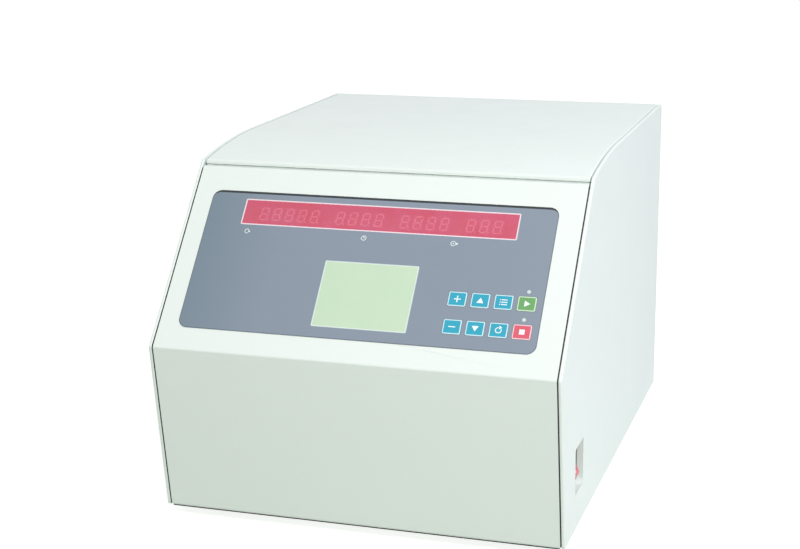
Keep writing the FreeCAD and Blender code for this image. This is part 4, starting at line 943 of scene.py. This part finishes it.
def sevenSegments():
    work = bmesh.new()
    w, h = digitFace["width"] / 2, digitFace["height"] / 2
    t, g = digitFace["stroke"], digitFace["gap"]
    s = t / 2

    def lay(outline):
        prism(work, [(x + y * digitFace["slant"], y) for x, y in outline], 0.0, digitFace["lift"])

    for y in (-h + s, 0.0, h - s):
        lay([(-w + s + g, y), (-w + t + g, y - s), (w - t - g, y - s),
             (w - s - g, y), (w - t - g, y + s), (-w + t + g, y + s)])
    for x in (-w + s, w - s):
        for y0, y1 in ((-h + s, 0.0), (0.0, h - s)):
            lay([(x, y0 + g), (x + s, y0 + s + g), (x + s, y1 - s - g),
                 (x, y1 - g), (x - s, y1 - s - g), (x - s, y0 + s + g)])
    angles = [2 * math.pi * i / 10 for i in range(10)]
    lay([(w + digitFace["dotAcross"] + digitFace["dotRadius"] * math.cos(a),
          -h + digitFace["dotUp"] + digitFace["dotRadius"] * math.sin(a)) for a in angles])
    return stampFrom("digitStamp", work)


def layDigits():
    low, high = slopeBox("digit_modules")
    stamp = sevenSegments()
    pitch = digitFace["pitch"]
    slots = sum(digitFace["groups"]) + len(digitFace["groups"]) - 1
    across, up = middleOf(low, high)
    first = across - (slots - 1) * pitch / 2
    at = 0
    for i, count in enumerate(digitFace["groups"]):
        piece = spreadCopies("digitFaces" + str(i + 1), stamp, segmentPale, columns=count, rows=1,
                             start=onSlope(first + at * pitch, up, high.z),
                             columnStep=(pitch, 0, 0), turn=(slopeAngle, 0, 0))
        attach(piece, "housing")
        at += count + 1


layDigits()
print("digit faces laid")


# case screws and feet, each one stamp spread by the tree

screwShape = {"cross": 0.0026, "slot": 0.0009, "depth": 0.0013, "rowReach": 0.004,
              "wander": 0.7, "seed": 7, "steps": 24,
              "profile": ((1, 0), (1, 0.45), (0.93, 0.72), (0.78, 0.9), (0.74, 0.92))}
footShape = {"radius": 0.015, "waist": 0.0125, "sole": 0.0022, "ribs": 3, "rib": 0.0009,
             "ribTop": 0.0006, "ribBottom": 0.0014, "ribEnd": 0.0020, "ribFoot": 0.0003,
             "taper": 0.0004, "edge": 0.0008, "mouth": 0.0062, "hole": 0.0050, "sink": 0.0010,
             "holeShare": 0.45, "steps": 36, "sharpAngle": 40.0}


def screwStamp(r, h):
    # pan head with a cross recess, standing on the plane z = 0
    work = bmesh.new()
    d, c, t = screwShape["depth"], screwShape["cross"], screwShape["slot"] / 2
    cross = [(t, t), (t, c), (-t, c), (-t, t), (-c, t), (-c, -t),
             (-t, -t), (-t, -c), (t, -c), (t, -t), (c, -t), (c, t)]
    rings = [ringOf(work, r * a, h * b, screwShape["steps"], 0.5)
             for a, b in screwShape["profile"]]
    for first, second in zip(rings, rings[1:]):
        joinRings(work, first, second)
    work.faces.new(rings[0][::-1])
    rim = [work.verts.new((x, y, h * 0.96)) for x, y in cross]
    floor = [work.verts.new((x * 0.7, y * 0.7, h * 0.96 - d)) for x, y in cross]
    joinRings(work, rim, floor)
    work.faces.new(floor[::-1])
    work.edges.index_update()
    bmesh.ops.bridge_loops(work, edges=[e for e in work.edges if len(e.link_faces) == 1])
    return stampFrom("screwStamp", work)


def placeScrews():
    low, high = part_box("case_screws")
    vertices = cad["case_screws"].data.vertices
    spots = sorted({(round(v.co.x, 5), round(v.co.z, 5)) for v in vertices})
    rows = []
    for z in sorted(z for x, z in spots if x < 0):
        if not rows or z > rows[-1][-1] + screwShape["rowReach"]:
            rows.append([z])
        else:
            rows[-1].append(z)
    heights = [(row[0] + row[-1]) / 2 for row in rows]
    radius = (rows[0][-1] - rows[0][0]) / 2
    stamp = screwStamp(radius, high.y - low.y)
    step = (heights[-1] - heights[0]) / (len(heights) - 1)
    piece = spreadCopies("caseScrewHeads", stamp, finishes["screw_zinc"],
                         columns=2, rows=len(heights), start=(low.x + radius, low.y, heights[0]),
                         columnStep=(high.x - low.x - 2 * radius, 0, 0), rowStep=(0, 0, step),
                         turn=(-math.pi / 2, 0, 0), wander=screwShape["wander"],
                         seed=screwShape["seed"])
    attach(piece, "housing")
    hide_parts("case_screws")


def footStamp(drop):
    # ribbed foot with a countersunk hole in its sole, hanging below the plane z = 0
    work = bmesh.new()
    r, waist, sole, edge, hole = (footShape[key] for key in
                                  ("radius", "waist", "sole", "edge", "hole"))
    rib = waist + footShape["rib"]
    profile = [(0, 0), (waist, 0)]
    for i in range(footShape["ribs"]):
        top = -drop * 0.06 - i * (drop - sole) * 0.3
        profile += [(waist, top), (rib, top - footShape["ribTop"]),
                    (rib, top - footShape["ribBottom"]),
                    (waist + footShape["ribFoot"] + footShape["taper"] * i,
                     top - footShape["ribEnd"])]
    end = -drop * footShape["holeShare"]
    profile += [(r, -drop + sole), (r, -drop + edge), (r - edge, -drop),
                (footShape["mouth"], -drop), (hole, -drop + footShape["sink"]),
                (hole, end), (0, end)]
    lathe(work, profile, footShape["steps"])
    return stampFrom("footStamp", work)


def placeFeet():
    low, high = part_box("rubber_feet")
    stamp = footStamp(high.z - low.z)
    r = footShape["radius"]
    piece = spreadCopies("ribbedFeet", stamp, finishes["black_rubber"], columns=2, rows=2,
                         start=(low.x + r, low.y + r, high.z),
                         columnStep=(high.x - low.x - 2 * r, 0, 0),
                         rowStep=(0, high.y - low.y - 2 * r, 0), angle=footShape["sharpAngle"])
    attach(piece, "housing")
    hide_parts("rubber_feet")


placeScrews()
placeFeet()
print("screws and feet placed")


# black strips standing in for painted shade in the gaps beside the front and below it, and a pale
# one below the lid's front

stripShape = {"width": 0.0013, "depth": 0.0030, "below": 0.0006, "bend": 0.004,
              "foldHeight": 0.195, "lean": 0.0276, "short": 0.002, "inset": 0.001,
              "edgeWidth": 0.0016, "edgeHeight": 0.0012, "edgeBack": 0.0032,
              "edgeClear": 0.00002, "restWidth": 0.0016, "restHeight": 0.0009,
              "restBack": 0.0022, "restClear": 0.00004, "sharpAngle": 40.0}


def makeSweepTree():
    tree, sockets, given = newShapeTree("sweptStrip", {
        "Geometry": "NodeSocketGeometry", "Finish": "NodeSocketMaterial", "Width": number,
        "Depth": number, "Bend": number})
    path = tree.nodes.new("GeometryNodeMeshToCurve")
    tree.links.new(given["Geometry"], path.inputs[0])
    rounded = tree.nodes.new("GeometryNodeFilletCurve")
    rounded.mode = "POLY"
    rounded.inputs["Count"].default_value = 6
    tree.links.new(path.outputs[0], rounded.inputs["Curve"])
    feed(tree, rounded.inputs["Radius"], given["Bend"])
    level = tree.nodes.new("GeometryNodeSetCurveNormal")
    level.mode = "Z_UP"
    tree.links.new(rounded.outputs[0], level.inputs[0])
    section = addNode(tree, "GeometryNodeCurvePrimitiveQuadrilateral", Width=given["Width"],
                      Height=given["Depth"])
    sweep = addNode(tree, "GeometryNodeCurveToMesh", Curve=level.outputs[0])
    tree.links.new(section.outputs[0], sweep.inputs["Profile Curve"])
    sweep.inputs["Fill Caps"].default_value = True
    endShapeTree(tree, sweep.outputs[0], given["Finish"])
    return tree, sockets


sweepTree, sweepSockets = makeSweepTree()


def sweepStrip(name, points, width, depth, bend, slot="black_rubber"):
    mesh = bpy.data.meshes.new(name)
    mesh.from_pydata(points, [(i, i + 1) for i in range(len(points) - 1)], [])
    piece = addObject(name, mesh)
    modifier = piece.modifiers.new("sweep", "NODES")
    modifier.node_group = sweepTree
    values = {"Finish": finishes[slot], "Width": width, "Depth": depth, "Bend": bend}
    for label, value in values.items():
        modifier[sweepSockets[label]] = value
    withModifiers(piece)
    finishMesh(piece.data, stripShape["sharpAngle"])
    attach(piece, "housing")


def layStrips():
    low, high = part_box("front_fascia")
    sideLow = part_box("right_cheek")[0]
    panelHalf = max(v.co.x for v in cad["lid_shell"].data.vertices)
    middle = (panelHalf + sideLow.x) / 2
    inset = stripShape["below"] + stripShape["depth"] / 2
    fold = slopeStart - upDirection * ((slopeStart.z - stripShape["foldHeight"]) / upDirection.z)
    short = stripShape["short"]
    top = fold + upDirection * (math.hypot(slope["run"], slope["rise"]) - short)
    foot = Vector((0, fold.y + stripShape["lean"], low.z + short))
    lowerOut = Vector((0, -(fold.z - foot.z), -(foot.y - fold.y))).normalized()
    ins = [foot - lowerOut * inset, fold - (outDirection + lowerOut).normalized() * inset,
           top - outDirection * inset]
    # black strips that paint the shade deep in the side gaps between the front and the cheeks
    for side, name in ((-1, "leftGapStrip"), (1, "rightGapStrip")):
        sweepStrip(name, [(side * middle, p.y, p.z) for p in ins],
                   stripShape["width"], stripShape["depth"], stripShape["bend"])
    half = panelHalf - stripShape["inset"]
    edgeY = fold.y + stripShape["lean"] + stripShape["edgeBack"]
    edgeZ = low.z - stripShape["edgeHeight"] / 2 - stripShape["edgeClear"]
    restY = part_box("lid_shell")[0].y + stripShape["restBack"]
    restZ = high.z + stripShape["restHeight"] / 2 + stripShape["restClear"]
    # a black strip painting the shade under the front's lower edge
    sweepStrip("lowerEdgeStrip", [(-half, edgeY, edgeZ), (half, edgeY, edgeZ)],
               stripShape["edgeWidth"], stripShape["edgeHeight"], 0.0)
    sweepStrip("lidRestStrip", [(-half, restY, restZ), (half, restY, restZ)],
               stripShape["restWidth"], stripShape["restHeight"], 0.0, "cabinet_paint")


layStrips()
print("gap strips laid")


# stage, lights and camera

stageValues = {"floorHalf": 6.0, "floorTone": tint(188, 196, 184), "floorLift": 0.80,
               "ambient": 0.45, "ambientTint": (0.965, 1.0, 0.995, 1.0), "lampTarget": (0, 0, 0.18)}
lampValues = {
    "keyLamp": {"from": (1.6, -1.95, 2.5), "size": 1.6, "power": 86.0, "tint": (1, 1, 0.975)},
    "fillLamp": {"from": (-2.6, -2.2, 1.6), "size": 2.2, "power": 3.0, "tint": (0.8, 1, 0.6)},
    "sideLamp": {"from": (3.2, 0.4, 0.9), "size": 1.6, "power": 13.5, "tint": (0.55, 0.56, 1)},
    "rearLamp": {"from": (0.2, 1.9, 2.4), "size": 1.6, "power": 4.0, "tint": (0.4, 0.75, 1)},
}
cameraValues = {"place": (0.5167, -1.745, 0.6748), "azimuth": -17.6131, "elevation": 14.2167,
                "roll": -0.5828, "lens": 73.7519, "sensor": 36.0, "reach": 50.0}


def seenDirectly(tree):
    # one for rays from the camera, or that a glossy or clear face has sent on
    path = tree.nodes.new("ShaderNodeLightPath").outputs
    sent = calc(tree, "MAXIMUM", path["Is Glossy Ray"], path["Is Transmission Ray"])
    return calc(tree, "MAXIMUM", path["Is Camera Ray"], sent)


def makeFloor():
    material = bpy.data.materials.new("paleFloor")
    material.use_nodes = True
    tree = material.node_tree
    tree.nodes.clear()
    output = tree.nodes.new("ShaderNodeOutputMaterial")
    plain = addNode(tree, "ShaderNodeBsdfDiffuse", Color=stageValues["floorTone"])
    strength = times(tree, seenDirectly(tree), stageValues["floorLift"])
    lift = addNode(tree, "ShaderNodeEmission", Strength=strength)
    both = tree.nodes.new("ShaderNodeAddShader")
    tree.links.new(plain.outputs[0], both.inputs[0])
    tree.links.new(lift.outputs[0], both.inputs[1])
    tree.links.new(both.outputs[0], output.inputs["Surface"])
    half = stageValues["floorHalf"]
    mesh = bpy.data.meshes.new("floor")
    corners = [(-half, -half, 0), (half, -half, 0), (half, half, 0), (-half, half, 0)]
    mesh.from_pydata(corners, [], [(0, 1, 2, 3)])
    mesh.materials.append(material)
    floor = addObject("floor", mesh)


def makeWorld():
    world = bpy.data.worlds.new("studio")
    bpy.context.scene.world = world
    world.use_nodes = True
    tree = world.node_tree
    back = tree.nodes["Background"]
    seen = seenDirectly(tree)
    white = (1.0, 1.0, 1.0, 1.0)
    feed(tree, back.inputs["Color"], blendColor(tree, seen, stageValues["ambientTint"], white))
    feed(tree, back.inputs["Strength"], remap(tree, seen, 0.0, 1.0, stageValues["ambient"], 1.0))


def makeLamps():
    target = Vector(stageValues["lampTarget"])
    for name, values in lampValues.items():
        light = bpy.data.lights.new(name, "AREA")
        light.shape = "DISK"
        light.size = values["size"]
        light.energy = values["power"]
        light.color = values["tint"]
        lamp = addObject(name, light)
        lamp.location = values["from"]
        lamp.rotation_euler = (target - lamp.location).to_track_quat("-Z", "Y").to_euler()


def makeCamera():
    lens = bpy.data.cameras.new("camera")
    lens.lens = cameraValues["lens"]
    lens.sensor_width = cameraValues["sensor"]
    lens.clip_end = cameraValues["reach"]
    azimuth, elevation, roll = (math.radians(cameraValues[key])
                                for key in ("azimuth", "elevation", "roll"))
    level = math.cos(elevation)
    ahead = Vector((math.sin(azimuth) * level, math.cos(azimuth) * level, -math.sin(elevation)))
    right = Vector((math.cos(azimuth), -math.sin(azimuth), 0))
    up = right.cross(ahead)
    right, up = (right * math.cos(roll) + up * math.sin(roll),
                 up * math.cos(roll) - right * math.sin(roll))
    turn = Matrix((right, up, -ahead)).transposed().to_4x4()
    camera = addObject("camera", lens)
    camera.matrix_world = Matrix.Translation(Vector(cameraValues["place"])) @ turn
    bpy.context.scene.camera = camera


makeFloor()
makeWorld()
makeLamps()
makeCamera()
bpy.context.scene.view_settings.view_transform = "Standard"
print("stage, lamps and camera set")
